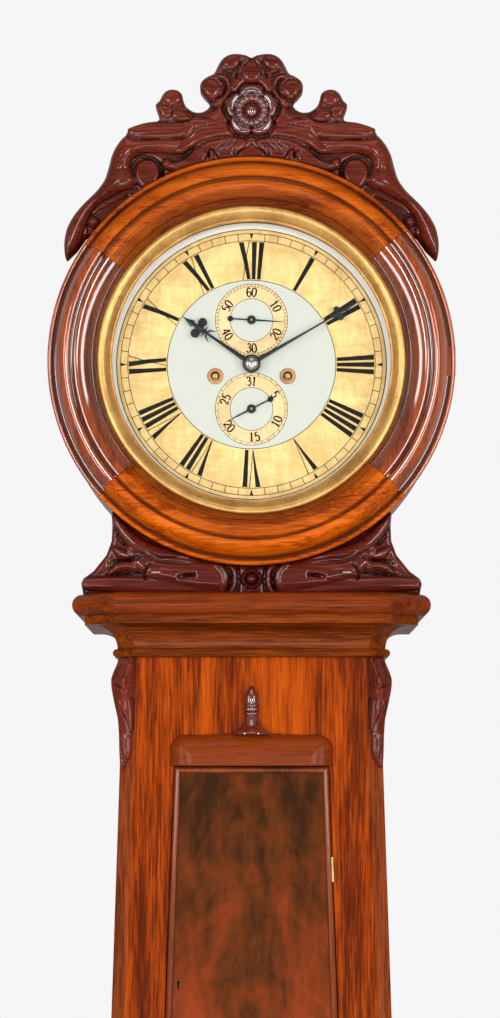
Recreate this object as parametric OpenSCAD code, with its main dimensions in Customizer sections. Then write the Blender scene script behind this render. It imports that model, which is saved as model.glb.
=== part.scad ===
// Longcase clock with a round drum head: a tapering mahogany case, a carved crest and saddle,
// and an eight-day striking movement with a seconds pendulum.
// Millimetres. Z is up, the front looks along -Y, and the origin is on the floor, mid-way
// between the sides and between the front of the skirting and the back of the case.

/* [Plinth] */
// Height of the plinth boards above the floor
plinth_h = 548; // [420:2:640]
// Height of the skirting round the foot
skirting_h = 76; // [40:1:120]
// How far the skirting stands proud of the plinth
skirting_step = 17; // [8:1:24]
// How far the plinth stands proud of the trunk
plinth_step = 46; // [30:1:60]
// Height of the moulding between plinth and trunk
base_moulding_h = 38; // [24:1:60]
// Margin between the raised plinth panel and the edges of the plinth front
panel_margin = 46; // [30:1:70]
// Thickness of the raised plinth panel
panel_t = 6; // [3:0.5:10]

/* [Trunk] */
// Height of the trunk between its mouldings
trunk_h = 767; // [650:1:900]
// Depth of the trunk, from the wall to its front boards
trunk_depth = 207; // [190:1:240]
// Width of the trunk at its top
trunk_top_w = 311; // [290:1:340]
// Width of the trunk at its bottom
trunk_bottom_w = 363; // [345:1:420]
// Width of the cut corners, along the front and along the side alike
corner_cut = 16.5; // [16:0.5:24]
// Thickness of the side boards, cheeks and plinth boards
side_t = 14; // [10:0.5:16]
// Thickness of the trunk's front boards
front_t = 16; // [12:0.5:20]
// Thickness of the backboard
back_t = 12; // [8:0.5:16]

/* [Trunk door] */
// Height of the trunk door
door_h = 520; // [420:1:600]
// Distance from the top of the trunk down to the door
door_drop = 133; // [115:1:160]
// Width of the door at its top
door_top_w = 186; // [160:1:200]
// Width of the door at its bottom
door_bottom_w = 224; // [200:1:240]
// Gap between the door and its opening
door_gap = 1; // [0.8:0.1:2]
// Width of the cock bead round the door
door_bead_w = 7.5; // [5:0.5:10]
// How far the cock bead stands proud of the trunk
door_bead_proud = 4; // [2:0.5:6]
// Height of the moulded cap over the door
door_cap_h = 38; // [28:1:46]
// How far the cap stands proud of the trunk
door_cap_proud = 17; // [10:1:24]
// Height of the turned acorn on the cap
acorn_h = 55; // [48:1:66]
// Height of the door's keyhole above its bottom edge
keyhole_z = 259; // [200:1:320]

/* [Cornice and hood base] */
// Height of the astragal at the foot of the cornice
astragal_h = 10; // [6:0.5:14]
// Height of the cornice's cove
cove_h = 28.5; // [20:0.5:40]
// Height of the cornice's upper fillet
fillet_h = 10.5; // [6:0.5:16]
// How far the astragal stands proud of the trunk
astragal_proud = 12.7; // [8:0.1:16]
// How far the foot of the cove stands proud of the trunk
cove_low_proud = 7; // [4:0.5:10]
// How far the top of the cove stands proud of the trunk
cove_top_proud = 35; // [24:0.5:40]
// How far the fillet stands proud of the trunk
fillet_proud = 46; // [41:0.5:52]
// How far the round-nosed slab stands proud of the trunk
slab_proud = 61; // [54:0.5:70]
// Thickness of the round-nosed slab
slab_t = 26; // [20:0.5:34]

/* [Drum] */
// Gap between the slab and the lowest point of the round door
drum_lift = 35; // [28:1:44]
// Outer radius of the drum barrel
barrel_r = 243.5; // [225:0.5:260]
// Wall thickness of the drum barrel
barrel_t = 10.5; // [8:0.5:14]
// Depth of the drum
barrel_depth = 212.7; // [205:0.1:216]
// Inner radius of the frame ring in the mouth of the drum
frame_ring_r = 177; // [174:0.5:190]
// Thickness of the frame ring in the mouth of the drum
frame_ring_t = 12; // [8:0.5:14]
// Room between a cheek and the slot in the drum
cheek_gap = 2; // [1:0.5:4]

/* [Round door] */
// How far the round door overhangs the barrel
ring_overhang = 2.5; // [2.2:0.1:4]
// Thickness of the round door's wooden ring
ring_t = 38; // [32:1:46]
// Width of the bead at the ring's outer edge
edge_bead_w = 6; // [4:0.5:8]
// Height of the bead's centre above the back of the ring
edge_bead_h = 8; // [7:0.5:10]
// Width of the quirk inside the bead
outer_quirk_w = 3.4; // [2:0.1:5]
// Width of the broad torus
torus_w = 18.8; // [14:0.2:24]
// Width of the groove inside the torus
groove_w = 3.8; // [2:0.2:6]
// Width of the inner round moulding
inner_torus_w = 17.5; // [12:0.5:22]
// Width of the sloping band next to the gilt slip
band_w = 10.7; // [6:0.1:14]
// Width of the gilt slip
slip_w = 17.8; // [12:0.1:20]
// Thickness of the glass
glass_t = 2.8; // [2:0.1:3.2]

/* [Dial and hands] */
// Radius of the dial plate
dial_r = 172; // [165:0.5:175]
// Thickness of the dial plate
dial_t = 1.6; // [1:0.1:2.5]
// Distance from the back of the round door to the dial
dial_depth = 23; // [20:0.5:28]
// Height of the seconds arbor above the centre, and of the date arbor below it
subdial_rise = 54; // [52:0.5:56]
// Distance of each winding square to the side of the centre
winding_x = 44; // [43:0.5:46]
// Distance of each winding square below the centre
winding_drop = 14; // [12:0.5:16]
// Length of the hour hand
hour_hand_l = 103; // [90:1:110]
// Length of the minute hand
minute_hand_l = 157; // [140:1:160]
// Length of the seconds and date hands
small_hand_l = 40; // [34:1:42]
// Thickness of the hands
hand_t = 1; // [0.6:0.1:1.2]

/* [Movement] */
// Thickness of the plates
plate_t = 3; // [2:0.5:4]
// Distance between the plates
plate_gap = 60; // [58:1:64]
// Height of the plates above the centre arbor
plate_rise = 95; // [92:1:100]
// Height of the plates below the centre arbor
plate_fall = 66; // [64:1:72]
// Radius of a wheel's arbor
arbor_r = 1.1; // [0.9:0.05:1.15]
// Radius of a winding arbor
winding_arbor_r = 4; // [3:0.5:5]
// Radius of the barrels
barrel_drum_r = 23; // [20:0.5:24]
// Thickness of the train wheels
wheel_t = 1.4; // [1:0.1:1.6]
// Running clearance between a pivot and its hole
pivot_gap = 0.05; // [0.03:0.01:0.09]
// Thickness of the seatboard
seatboard_t = 18; // [14:1:24]
// Radius of the bell's mouth
bell_r = 40; // [34:0.5:44]
// Wall thickness of the bell
bell_t = 3; // [2:0.5:4]

/* [Pendulum and weights] */
// Distance from the suspension to the middle of the bob
pendulum_l = 994; // [950:1:1000]
// Radius of the pendulum bob
bob_r = 55; // [45:1:60]
// Thickness of the pendulum bob
bob_t = 28; // [20:1:30]
// Radius of a driving weight
weight_r = 31; // [26:1:32]
// Height of a driving weight
weight_h = 215; // [160:5:260]
// Distance from the seatboard down to the axle of a weight's pulley
weight_hang = 295; // [230:5:400]
// Radius of the gut lines
line_r = 0.9; // [0.6:0.1:1.2]

/* [Carving] */
// Thickness of the crest's carved board
crest_t = 25; // [18:1:30]
// Depth of the carving's raised layer
relief = 7; // [4:0.5:10]
// Half the width of the saddle at the slab
saddle_half_w = 206; // [196:1:212]
// Length of a corner corbel
corbel_h = 128; // [100:1:150]

/* [Hidden] */
$fn = 96;
big = 1200;
seat_gap = 0.3;
tiny = 0.01;

mahogany = "#8a3d16";
dark_mahogany = "#5c1f12";
flame = "#4a1c0e";
brass = "#b8923f";
steel = "#2a2d33";
iron = "#3a3a3c";

// Planes and levels of the case
case_depth = trunk_depth + plinth_step + skirting_step;
back_y = case_depth / 2;
inner_back_y = back_y - back_t;
trunk_y = back_y - trunk_depth;
plinth_y = trunk_y - plinth_step;
trunk_z0 = plinth_h + base_moulding_h;
trunk_z1 = trunk_z0 + trunk_h;
cornice_z1 = trunk_z1 + astragal_h + cove_h + fillet_h;
slab_z1 = cornice_z1 + slab_t;
ring_r = barrel_r + ring_overhang;
drum_z = slab_z1 + drum_lift + ring_r;
trunk_slope = (trunk_bottom_w - trunk_top_w) / 2 / trunk_h;
plinth_half = trunk_bottom_w / 2 + plinth_step;
plinth_cut = corner_cut + plinth_step * (2 - sqrt(2));
cheek_half = trunk_top_w / 2 - side_t;
cheek_front_y = trunk_y + 22;

// Planes and levels of the trunk door
door_z1 = trunk_z1 - door_drop;
door_z0 = door_z1 - door_h;
door_slope = (door_bottom_w - door_top_w) / 2 / door_h;
door_front_y = trunk_y - 0.5;
door_board_t = 15;
door_knuckle_r = 2.2;
door_hinge_y = trunk_y - door_knuckle_r - 0.05;
door_hinge_l = 30;
door_hinge_inset = 124;
door_cap_z0 = door_z1 + door_gap;
door_cap_half = door_top_w / 2 + 5.5;
bolt_throw = 6;
// How far the rails lap into the stiles of the trunk's front
rail_tenon = 2;
// Thickness of the board at the foot of the plinth
plinth_floor_t = 12;
bolt_half_h = 6;

// Planes and radii of the hood
drum_y = back_y - barrel_depth;
barrel_bore = barrel_r - barrel_t;
door_plane = drum_y - seat_gap;
torus_r1 = ring_r - edge_bead_w - outer_quirk_w;
groove_r1 = torus_r1 - torus_w;
inner_torus_r1 = groove_r1 - groove_w;
band_r1 = inner_torus_r1 - inner_torus_w;
slip_r1 = band_r1 - band_w;
sight_r = slip_r1 - slip_w;
slip_back = glass_t + 0.8;
hood_knuckle_r = 2.5;
hood_hinge_x = ring_r - hood_knuckle_r;
hood_hinge_y = door_plane - 5;
hood_hinge_half = 18;
slot_half = cheek_half + cheek_gap;
slot_y = cheek_front_y - 3;

// Planes of the dial and the front work, towards the front
dial_y = door_plane + dial_depth;
plate_y = dial_y + 27;
back_plate_y = plate_y + plate_t + plate_gap;
movement_end_y = back_plate_y + plate_t;
small_hand_y = dial_y - 2;
hour_hand_y = dial_y - 4;
minute_hand_y = dial_y - 8;

// Trains: teeth and places of the arbors, from the centre arbor
great_n = 96;
centre_n = 60;
third_n = 56;
pinion_n = 8;
escape_pinion_n = 7;
escape_n = 30;
strike_great_n = 84;
pin_n = 64;
gathering_n = 56;
warning_pinion_n = 7;
warning_n = 48;
fly_pinion_n = 6;
cannon_n = 36;
hour_n = 72;
minute_pinion_n = 6;
date_n = 31;
time_barrel_at = [winding_x, -winding_drop];
strike_barrel_at = [-winding_x, -winding_drop];
escape_at = [0, subdial_rise];
third_at = [8, subdial_rise / 2];
pin_at = strike_barrel_at + [5, 38.8];
gathering_at = pin_at + [14, 23.1];
warning_at = gathering_at + [-19, 11.2];
fly_at = warning_at + [11, 13.7];
minute_at = [-19.1, -19.1];
pallet_at = escape_at + [0, 24.7];
date_at = [0, -subdial_rise];

// Planes of the wheels, each the front face, from the front plate backwards
inside_y = plate_y + plate_t;
centre_wheel_y = inside_y + 1;
pin_wheel_y = inside_y + 3.4;
great_wheel_y = inside_y + 7.5;
barrel_y0 = great_wheel_y + wheel_t + 2;
barrel_y1 = back_plate_y - 7;
gathering_wheel_y = inside_y + 25;
warning_wheel_y = inside_y + 35;
third_wheel_y = inside_y + 45;
escape_wheel_y = inside_y + 54;
cannon_y = plate_y - 3.5;
hour_wheel_y = plate_y - 7.5;
snail_y = plate_y - 10;
rack_y = plate_y - 5.5;
seat_z = drum_z - plate_fall - seatboard_t;

// The pendulum, weights and lines
suspension_y = back_plate_y + 24;
pivot_z = drum_z + pallet_at[1];
bob_z = pivot_z - pendulum_l;
rod_r = 2.5;
line_y = (barrel_y0 + barrel_y1) / 2;
pulley_r = barrel_drum_r + line_r + 0.2;
pulley_z = seat_z - weight_hang;
pulley_t = 5;
pillar_r = 5;
pillar_x = winding_x + pulley_r + line_r + pillar_r + 1.6;
plate_half_w = pillar_x + pillar_r + 1.4;
weight_z1 = pulley_z - pulley_r - 22;

// Shapes that repeat

function trunk_half(z) = trunk_top_w / 2 + (trunk_z1 - z) * trunk_slope;
function door_half(z) = door_top_w / 2 + (door_z1 - z) * door_slope;
function ellipse(c, a, b, t0, t1, n) =
  [for (i = [0:n]) let(t = t0 + (t1 - t0) * i / n) [c[0] + a * cos(t), c[1] + b * sin(t)]];
function mirrored(points) = [for (p = points) [-p[0], p[1]]];
function bearing(from, to) = atan2(to[1] - from[1], to[0] - from[0]);

// A point between p1 and p2 on a smooth curve through four points
function curve_point(p0, p1, p2, p3, t) =
  0.5 * (2 * p1 + (p2 - p0) * t + (2 * p0 - 5 * p1 + 4 * p2 - p3) * t * t
    + (3 * p1 - p0 - 3 * p2 + p3) * t * t * t);
function smooth(p, n) = concat(
  [for (i = [0:len(p) - 2], k = [0:n - 1])
    curve_point(p[max(i - 1, 0)], p[i], p[i + 1], p[min(i + 2, len(p) - 1)], k / n)],
  [p[len(p) - 1]]);

// A flat outline drawn in X and Z, between two planes across Y
module upright(y0, y1) {
  translate([0, y1, 0])
    rotate([90, 0, 0])
      linear_extrude(y1 - y0)
        children();
}

// A rod along Y
module rod(r, y0, y1) {
  translate([0, y1, 0])
    rotate([90, 0, 0])
      cylinder(r = r, h = y1 - y0);
}

// A turned shape whose axis runs along Y; its profile is drawn as radius and height to the front
module turned(y) {
  translate([0, y, 0])
    rotate([90, 0, 0])
      rotate_extrude()
        children();
}

module box_between(low, high) {
  translate(low)
    cube(high - low);
}

module both_sides() {
  children();
  mirror([1, 0, 0])
    children();
}

module at_arbor(place) {
  translate([place[0], 0, drum_z + place[1]])
    children();
}

// A moulding's face: its profile, drawn outwards and upwards, runs past both ends of one side
module face(angle, distance) {
  rotate([90, 0, angle])
    linear_extrude(big, center = true)
      translate([distance, 0])
        children();
}

// A moulding mitred round the front, the cut corners and the sides of a board case
module wrapped(half, front, cut) {
  corner = (half + front - cut) / sqrt(2);
  intersection() {
    face(-90, front) children();
    face(0, half) children();
    face(180, half) children();
    face(-45, corner) children();
    face(-135, corner) children();
    box_between([-big / 2, -big / 2, 0], [big / 2, back_y, 3 * big]);
  }
}

// The plain plan of a cut-cornered case, between two levels
module case_plan(half, front, cut, z0, z1) {
  translate([0, 0, z0])
    linear_extrude(z1 - z0)
      polygon([
        [-half, back_y + 1], [-half, -front + cut], [-half + cut, -front],
        [half - cut, -front], [half, -front + cut], [half, back_y + 1]
      ]);
}

// A post that fills the cut corner between a front board and a side board
module corner_post(half0, half1, front, cut, z0, z1, inner_front, inner_side) {
  function plan(half) = [
    [half - cut, front], [half, front + cut], [half - inner_side, front + cut],
    [half - cut, front + inner_front]
  ];
  points = concat(
    [for (p = plan(half0)) [p[0], p[1], z0]],
    [for (p = plan(half1)) [p[0], p[1], z1]]
  );
  polyhedron(points, [
    [0, 1, 2, 3], [7, 6, 5, 4], [0, 4, 5, 1], [1, 5, 6, 2], [2, 6, 7, 3], [3, 7, 4, 0]
  ]);
}

// A wheel with straight-sided teeth, a tooth at the given angle, and optional crossings
module wheel_outline(teeth, module_mm, tooth_angle, bore_r, spokes = 0) {
  pitch_r = teeth * module_mm / 2;
  step = 360 / teeth;
  root_r = pitch_r - 1.0 * module_mm;
  tip_r = pitch_r + 0.75 * module_mm;
  rim_r = root_r - 2.2;
  hub_r = bore_r + 3.2;
  // Half widths of a tooth, as shares of the tooth spacing
  profile = [[root_r, 0.24], [pitch_r, 0.18], [tip_r, 0.07]];
  difference() {
    polygon([for (i = [0:teeth - 1]) let(a = tooth_angle + i * step)
      each concat(
        [for (k = [0:2]) profile[k][0] * [cos(a - profile[k][1] * step), sin(a - profile[k][1] * step)]],
        [for (k = [2:-1:0]) profile[k][0] * [cos(a + profile[k][1] * step), sin(a + profile[k][1] * step)]]
      )]);
    circle(r = bore_r / cos(15), $fn = 12);
    if (spokes > 0)
      for (i = [0:spokes - 1])
        rotate(i * 360 / spokes)
          polygon(concat(
            ellipse([0, 0], rim_r, rim_r, 9, 360 / spokes - 9, 8),
            ellipse([0, 0], hub_r, hub_r, 360 / spokes - 24, 24, 4)
          ));
  }
}

module wheel(teeth, module_mm, tooth_angle, y, thickness, bore_r, spokes = 0) {
  upright(y, y + thickness)
    wheel_outline(teeth, module_mm, tooth_angle, bore_r, spokes);
}

// A pinion with a gap between its leaves at the given angle
module pinion(leaves, module_mm, gap_angle, y, length, bore_r = arbor_r) {
  wheel(leaves, module_mm, gap_angle + 180 / leaves, y, length, bore_r + tiny);
}

// An arbor that turns in both plates
module arbor(y0, y1, r = arbor_r) {
  rod(r, y0, y1);
}

// The module in millimetres of a wheel and pinion between two arbors
function tooth_module(from, to, n1, n2) = 2 * norm(to - from) / (n1 + n2);

great_m = tooth_module(time_barrel_at, [0, 0], great_n, pinion_n);
centre_m = tooth_module([0, 0], third_at, centre_n, pinion_n);
third_m = tooth_module(third_at, escape_at, third_n, escape_pinion_n);
strike_great_m = tooth_module(strike_barrel_at, pin_at, strike_great_n, pinion_n);
pin_m = tooth_module(pin_at, gathering_at, pin_n, pinion_n);
gathering_m = tooth_module(gathering_at, warning_at, gathering_n, warning_pinion_n);
warning_m = tooth_module(warning_at, fly_at, warning_n, fly_pinion_n);
cannon_m = tooth_module([0, 0], minute_at, cannon_n, cannon_n);
hour_m = tooth_module([0, 0], minute_at, hour_n, minute_pinion_n);

// Plinth

module plinth_boards() color(mahogany) {
  both_sides() {
    box_between([plinth_half - side_t, plinth_y + plinth_cut, 0], [plinth_half, inner_back_y, plinth_h]);
    corner_post(plinth_half, plinth_half, plinth_y, plinth_cut, 0, plinth_h, side_t, side_t);
  }
  box_between(
    [-plinth_half + plinth_cut, plinth_y, 0],
    [plinth_half - plinth_cut, plinth_y + side_t, plinth_h]
  );
  difference() {
    box_between(
      [-plinth_half + side_t, plinth_y + side_t, skirting_h],
      [plinth_half - side_t, inner_back_y, skirting_h + plinth_floor_t]
    );
    both_sides()
      translate([plinth_half - plinth_cut, plinth_y + side_t, skirting_h - 1])
        rotate([0, 0, 45])
          translate([0, -plinth_cut, 0])
            cube([2 * plinth_cut, plinth_cut, 14]);
  }
}

panel_bead_w = 8;

module plinth_panel() color(flame) {
  half = plinth_half - plinth_cut - panel_margin / 2;
  z0 = skirting_h + panel_margin;
  z1 = plinth_h - panel_margin;
  box_between([-half, plinth_y - panel_t, z0], [half, plinth_y, z1]);
  for (z = [z0 + panel_bead_w / 2, z1 - panel_bead_w / 2])
    translate([-half, plinth_y - panel_t, z])
      rotate([0, 90, 0])
        cylinder(r = panel_bead_w / 2, h = 2 * half);
  for (x = [-half + panel_bead_w / 2, half - panel_bead_w / 2])
    translate([x, plinth_y - panel_t, z0])
      cylinder(r = panel_bead_w / 2, h = z1 - z0);
}

// The profile of the skirting: a plain board with a rounded top edge
module skirting_profile() {
  round_r = skirting_step * 0.6;
  polygon(concat(
    [[-big, 0], [skirting_step, 0]],
    ellipse([skirting_step - round_r, skirting_h - round_r], round_r, round_r, 0, 90, 6),
    [[-big, skirting_h]]
  ));
}

// The profile of the moulding between plinth and trunk: a fillet, a hollow and a bead
module base_moulding_profile() {
  fillet = base_moulding_h * 0.22;
  bead_r = base_moulding_h * 0.13;
  hollow_a = plinth_step - 2 * bead_r - 4;
  hollow_b = base_moulding_h - fillet - 2 * bead_r;
  polygon(concat(
    [[-big, trunk_z0 - base_moulding_h], [plinth_step, trunk_z0 - base_moulding_h]],
    [[plinth_step, trunk_z0 - base_moulding_h + fillet]],
    ellipse([2 * bead_r + hollow_a, trunk_z0 - 2 * bead_r], hollow_a, hollow_b, 270, 180, 10),
    ellipse([2 * bead_r, trunk_z0 - bead_r], bead_r, bead_r, -90, 90, 8),
    [[-big, trunk_z0]]
  ));
}

module plinth_mouldings() color(mahogany) {
  difference() {
    wrapped(plinth_half, -plinth_y, plinth_cut) skirting_profile();
    case_plan(plinth_half, -plinth_y, plinth_cut, -1, skirting_h + 1);
  }
  difference() {
    wrapped(trunk_half(trunk_z0), -trunk_y, corner_cut) base_moulding_profile();
    box_between(
      [-trunk_half(trunk_z0) + side_t, trunk_y + front_t, plinth_h - 1],
      [trunk_half(trunk_z0) - side_t, back_y + 1, trunk_z0 + 1]
    );
    box_between(
      [-trunk_half(trunk_z0), inner_back_y, plinth_h - 1], [trunk_half(trunk_z0), back_y + 1, trunk_z0 + 1]
    );
  }
}

// Trunk

// The backboard runs from the floor up into the drum, where a disc closes the back of the head
module backboard() color(mahogany) {
  low_half = plinth_half;
  neck_half = cheek_half;
  upright(inner_back_y, back_y)
    union() {
      translate([-low_half, 0])
        square([2 * low_half, plinth_h]);
      polygon([
        [-trunk_half(trunk_z0), plinth_h - 1], [trunk_half(trunk_z0), plinth_h - 1],
        [trunk_half(trunk_z0), trunk_z0], [trunk_half(trunk_z1), trunk_z1],
        [-trunk_half(trunk_z1), trunk_z1], [-trunk_half(trunk_z0), trunk_z0]
      ]);
      translate([-neck_half, trunk_z1 - 1])
        square([2 * neck_half, drum_z - trunk_z1]);
      translate([0, drum_z])
        circle(r = barrel_bore - seat_gap);
    }
}

module trunk_sides() color(mahogany) both_sides() {
  upright(trunk_y + corner_cut, inner_back_y)
    polygon([
      [trunk_half(trunk_z0) - side_t, trunk_z0], [trunk_half(trunk_z0), trunk_z0],
      [trunk_half(trunk_z1), trunk_z1], [trunk_half(trunk_z1) - side_t, trunk_z1]
    ]);
  box_between([cheek_half - side_t, cheek_front_y, trunk_z1 - 110], [cheek_half, inner_back_y, seat_z]);
}

module trunk_corners() color(dark_mahogany) both_sides()
  corner_post(
    trunk_half(trunk_z0), trunk_half(trunk_z1), trunk_y, corner_cut, trunk_z0, trunk_z1, front_t, side_t
  );

module trunk_front() color(mahogany) {
  gap = door_gap;
  difference() {
    union() both_sides()
      upright(trunk_y, trunk_y + front_t)
        polygon([
          [door_half(trunk_z0) + gap, trunk_z0], [trunk_half(trunk_z0) - corner_cut, trunk_z0],
          [trunk_half(trunk_z1) - corner_cut, trunk_z1], [door_half(trunk_z1) + gap, trunk_z1]
        ]);
    // The mortise for the lock's bolt
    translate([-door_half(door_z0 + keyhole_z), bolt_y, door_z0 + keyhole_z])
      box_between([-gap - bolt_throw - 3, -3, -bolt_half_h - 1], [4, 3, bolt_half_h + 1]);
  }
  // The rails above and below the door run into the stiles
  reach = gap + rail_tenon;
  for (rail = [[door_cap_z0, trunk_z1], [trunk_z0, door_z0 - gap]])
    upright(trunk_y, trunk_y + front_t)
      polygon([
        [-door_half(rail[0]) - reach, rail[0]], [door_half(rail[0]) + reach, rail[0]],
        [door_half(rail[1]) + reach, rail[1]], [-door_half(rail[1]) - reach, rail[1]]
      ]);
}

// The cornice's profile: astragal, cove and fillet
module cornice_profile() {
  z0 = trunk_z1;
  z1 = z0 + astragal_h;
  z2 = z1 + cove_h;
  translate([-big, z0])
    square([big + astragal_proud - astragal_h / 2, astragal_h]);
  translate([astragal_proud - astragal_h / 2, z0 + astragal_h / 2])
    circle(r = astragal_h / 2);
  polygon(concat(
    [[-big, z2], [-big, z1]],
    ellipse([cove_top_proud, z1], cove_top_proud - cove_low_proud, cove_h, 180, 90, 12)
  ));
  translate([-big, z2])
    square([big + fillet_proud, fillet_h]);
}

module trunk_cornice() color(mahogany) difference() {
  wrapped(trunk_top_w / 2, -trunk_y, corner_cut) cornice_profile();
  box_between(
    [-cheek_half - tiny, trunk_y + front_t, trunk_z1 - 1],
    [cheek_half + tiny, back_y + 1, cornice_z1 + 1]
  );
}

// A carved leaf bracket on each cut corner: a full shoulder under a scroll, tapering to a tip
module corbels() color(dark_mahogany) {
  h = corbel_h;
  outline = smooth([
    [0, -h], [4, -0.96 * h], [8, -0.82 * h], [9, -0.62 * h], [13, -0.44 * h],
    [18, -0.26 * h], [18, -0.14 * h], [13, -0.05 * h], [8, 0], [0, 0]
  ], 3);
  top_z = trunk_z1 - 4;
  both_sides()
    translate([trunk_half(top_z) - corner_cut / 2, trunk_y + corner_cut / 2, top_z])
      rotate([0, -atan(trunk_slope), 0])
        rotate([90, 0, -45])
          translate([0.2, 0, 0]) {
            linear_extrude(14, center = true)
              polygon(outline);
            linear_extrude(20, center = true)
              difference() {
                polygon([for (p = outline) [p[0] * 0.8, p[1] * 0.9 - 4]]);
                translate([-1, -h])
                  square([2, h]);
              }
            translate([12, -0.14 * h, -11])
              cylinder(r = 8, h = 22);
          }
}

// The cap over the door: a pillowed moulding with rounded shoulders, rising to a turned acorn
cap_shoulder = [door_cap_half - 16, door_cap_z0 + door_cap_h - 20];
cap_swell = 4;
// The height at which the acorn's profile is drawn
acorn_drawn_h = 59;

function cap_outline(inset) = concat(
  [[-door_cap_half + inset, door_cap_z0 + inset / 2]],
  mirrored(ellipse(cap_shoulder, 16 - inset, 20 - inset, 0, 90, 6)),
  [[-22, door_cap_z0 + door_cap_h - inset], [-9, door_cap_z0 + door_cap_h + cap_swell - inset]],
  [[9, door_cap_z0 + door_cap_h + cap_swell - inset], [22, door_cap_z0 + door_cap_h - inset]],
  ellipse(cap_shoulder, 16 - inset, 20 - inset, 90, 0, 6),
  [[door_cap_half - inset, door_cap_z0 + inset / 2]]
);

module door_cap() color(dark_mahogany) {
  for (step = [0, 1, 2])
    upright(trunk_y - door_cap_proud * (0.6 + 0.2 * step), trunk_y)
      polygon(cap_outline([0, 2.2, 6.5][step]));
  base = door_cap_z0 + door_cap_h + cap_swell;
  dowel = 5;
  k = acorn_h / acorn_drawn_h;
  intersection() {
    translate([0, trunk_y - 7, base])
      rotate_extrude()
        polygon(concat(
          [[0, -dowel], [9, -dowel], [9, 0], [15, 0]],
          ellipse([16, 20 * k], 9, 18 * k, 265, 180, 6),
          [[7, 24 * k], [10, 27 * k], [10.5, 31 * k], [9.5, 34 * k], [6.5, 36 * k], [8, 38 * k]],
          ellipse([0, 42 * k], 8, 14 * k, 0, 75, 6),
          [[1, 58 * k], [0, 59 * k]]
        ));
    box_between([-20, trunk_y - 40, base - dowel - 1], [20, trunk_y, base + acorn_h + 1]);
  }
}

// The door's hinges lean with the tapering edge of the door
module at_door_edge(z) {
  translate([door_half(z) + door_gap / 2, door_hinge_y, z])
    rotate([0, -atan(door_slope), 0])
      children();
}

hinge_pin_r = 1;
door_hinge_levels = [door_z1 - door_hinge_inset, door_z0 + door_hinge_inset];
leaf_t = 0.4;

module trunk_hinges() color(brass)
  for (z = door_hinge_levels)
    at_door_edge(z) {
      for (side = [-1, 1])
        translate([0, 0, side * door_hinge_l / 3])
          cylinder(r = door_knuckle_r, h = door_hinge_l / 3 - seat_gap, center = true);
      for (side = [-1, 1])
        translate([0, 0, side * door_hinge_l / 3 - (door_hinge_l / 3 - seat_gap) / 2])
          cube([door_gap / 2 - tiny, front_t - 2, door_hinge_l / 3 - seat_gap]);
      cylinder(r = hinge_pin_r, h = door_hinge_l + 2 * seat_gap, center = true);
    }

// Trunk door

module door_outline(inset) {
  z0 = door_z0 + inset;
  z1 = door_z1 - inset;
  polygon([
    [-door_half(z0) + inset, z0], [door_half(z0) - inset, z0],
    [door_half(z1) - inset, z1], [-door_half(z1) + inset, z1]
  ]);
}

lock_z = door_z0 + keyhole_z;
bolt_y = door_front_y + door_board_t - 4;
lock_w = 34;
lock_h = 50;

module door_panel() color(flame) difference() {
  upright(door_front_y, door_front_y + door_board_t)
    door_outline(door_bead_w);
  translate([-door_half(lock_z) + 14, 0, lock_z]) {
    rod(2, door_front_y - 1, door_front_y + door_board_t + 1);
    box_between([-1, door_front_y - 1, -7], [1, door_front_y + door_board_t + 1, 0]);
  }
  box_between(
    [-door_half(lock_z) + door_bead_w - 1, bolt_y - 3, lock_z - lock_h / 2],
    [-door_half(lock_z) + door_bead_w + lock_w, door_front_y + door_board_t + 1, lock_z + lock_h / 2]
  );
}

// The cock bead: a half-round nose on a plain frame, mitred at the door's four corners
function door_corners(inset) = [
  [-door_half(door_z0 + inset) + inset, door_z0 + inset],
  [door_half(door_z0 + inset) - inset, door_z0 + inset],
  [door_half(door_z1 - inset) - inset, door_z1 - inset],
  [-door_half(door_z1 - inset) + inset, door_z1 - inset]
];

module door_bead() color(mahogany) {
  r = door_bead_w / 2;
  back = door_front_y + door_board_t;
  profile = concat(
    [[0, back]], ellipse([r, door_front_y - door_bead_proud + r], r, -r, 180, 0, 10), [[door_bead_w, back]]
  );
  n = len(profile);
  difference() {
    polyhedron(
      [for (c = [0:3], p = profile) let(q = door_corners(p[0])[c]) [q[0], p[1], q[1]]],
      [for (c = [0:3], i = [0:n - 1]) let(d = (c + 1) % 4, k = (i + 1) % n)
        [c * n + i, c * n + k, d * n + k, d * n + i]]
    );
    // Room for the knuckles of the hinges, and the slot for the bolt
    for (z = door_hinge_levels)
      at_door_edge(z)
        cylinder(r = door_knuckle_r + seat_gap, h = door_hinge_l + 1, center = true);
    box_between([-door_half(lock_z) - 6, bolt_y - 2.3, lock_z - bolt_half_h - 0.3],
      [-door_half(lock_z) + door_bead_w + 1, bolt_y + 2.3, lock_z + bolt_half_h + 0.3]);
  }
}

module door_knuckles() color(brass)
  for (z = door_hinge_levels)
    at_door_edge(z)
      difference() {
        union() {
          cylinder(r = door_knuckle_r, h = door_hinge_l / 3 - seat_gap, center = true);
          translate([-door_gap / 2 + tiny, 0, -(door_hinge_l / 3 - seat_gap) / 2])
            cube([leaf_t, front_t - 4, door_hinge_l / 3 - seat_gap]);
        }
        cylinder(r = hinge_pin_r + pivot_gap, h = door_hinge_l, center = true);
      }

module door_lock() color(brass) difference() {
  box_between(
    [-door_half(lock_z) + door_bead_w + 1.5, bolt_y - 3, lock_z - lock_h / 2 + 0.3],
    [-door_half(lock_z) + door_bead_w + lock_w - 0.3, bolt_y + 5, lock_z + lock_h / 2 - 0.3]
  );
  box_between(
    [-door_half(lock_z), bolt_y - 2, lock_z - bolt_half_h],
    [-door_half(lock_z) + door_bead_w + 24, bolt_y + 2, lock_z + bolt_half_h]
  );
  translate([-door_half(lock_z) + 14, 0, lock_z - 8])
    rod(1.5, bolt_y - 4, bolt_y - 1);
}

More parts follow.
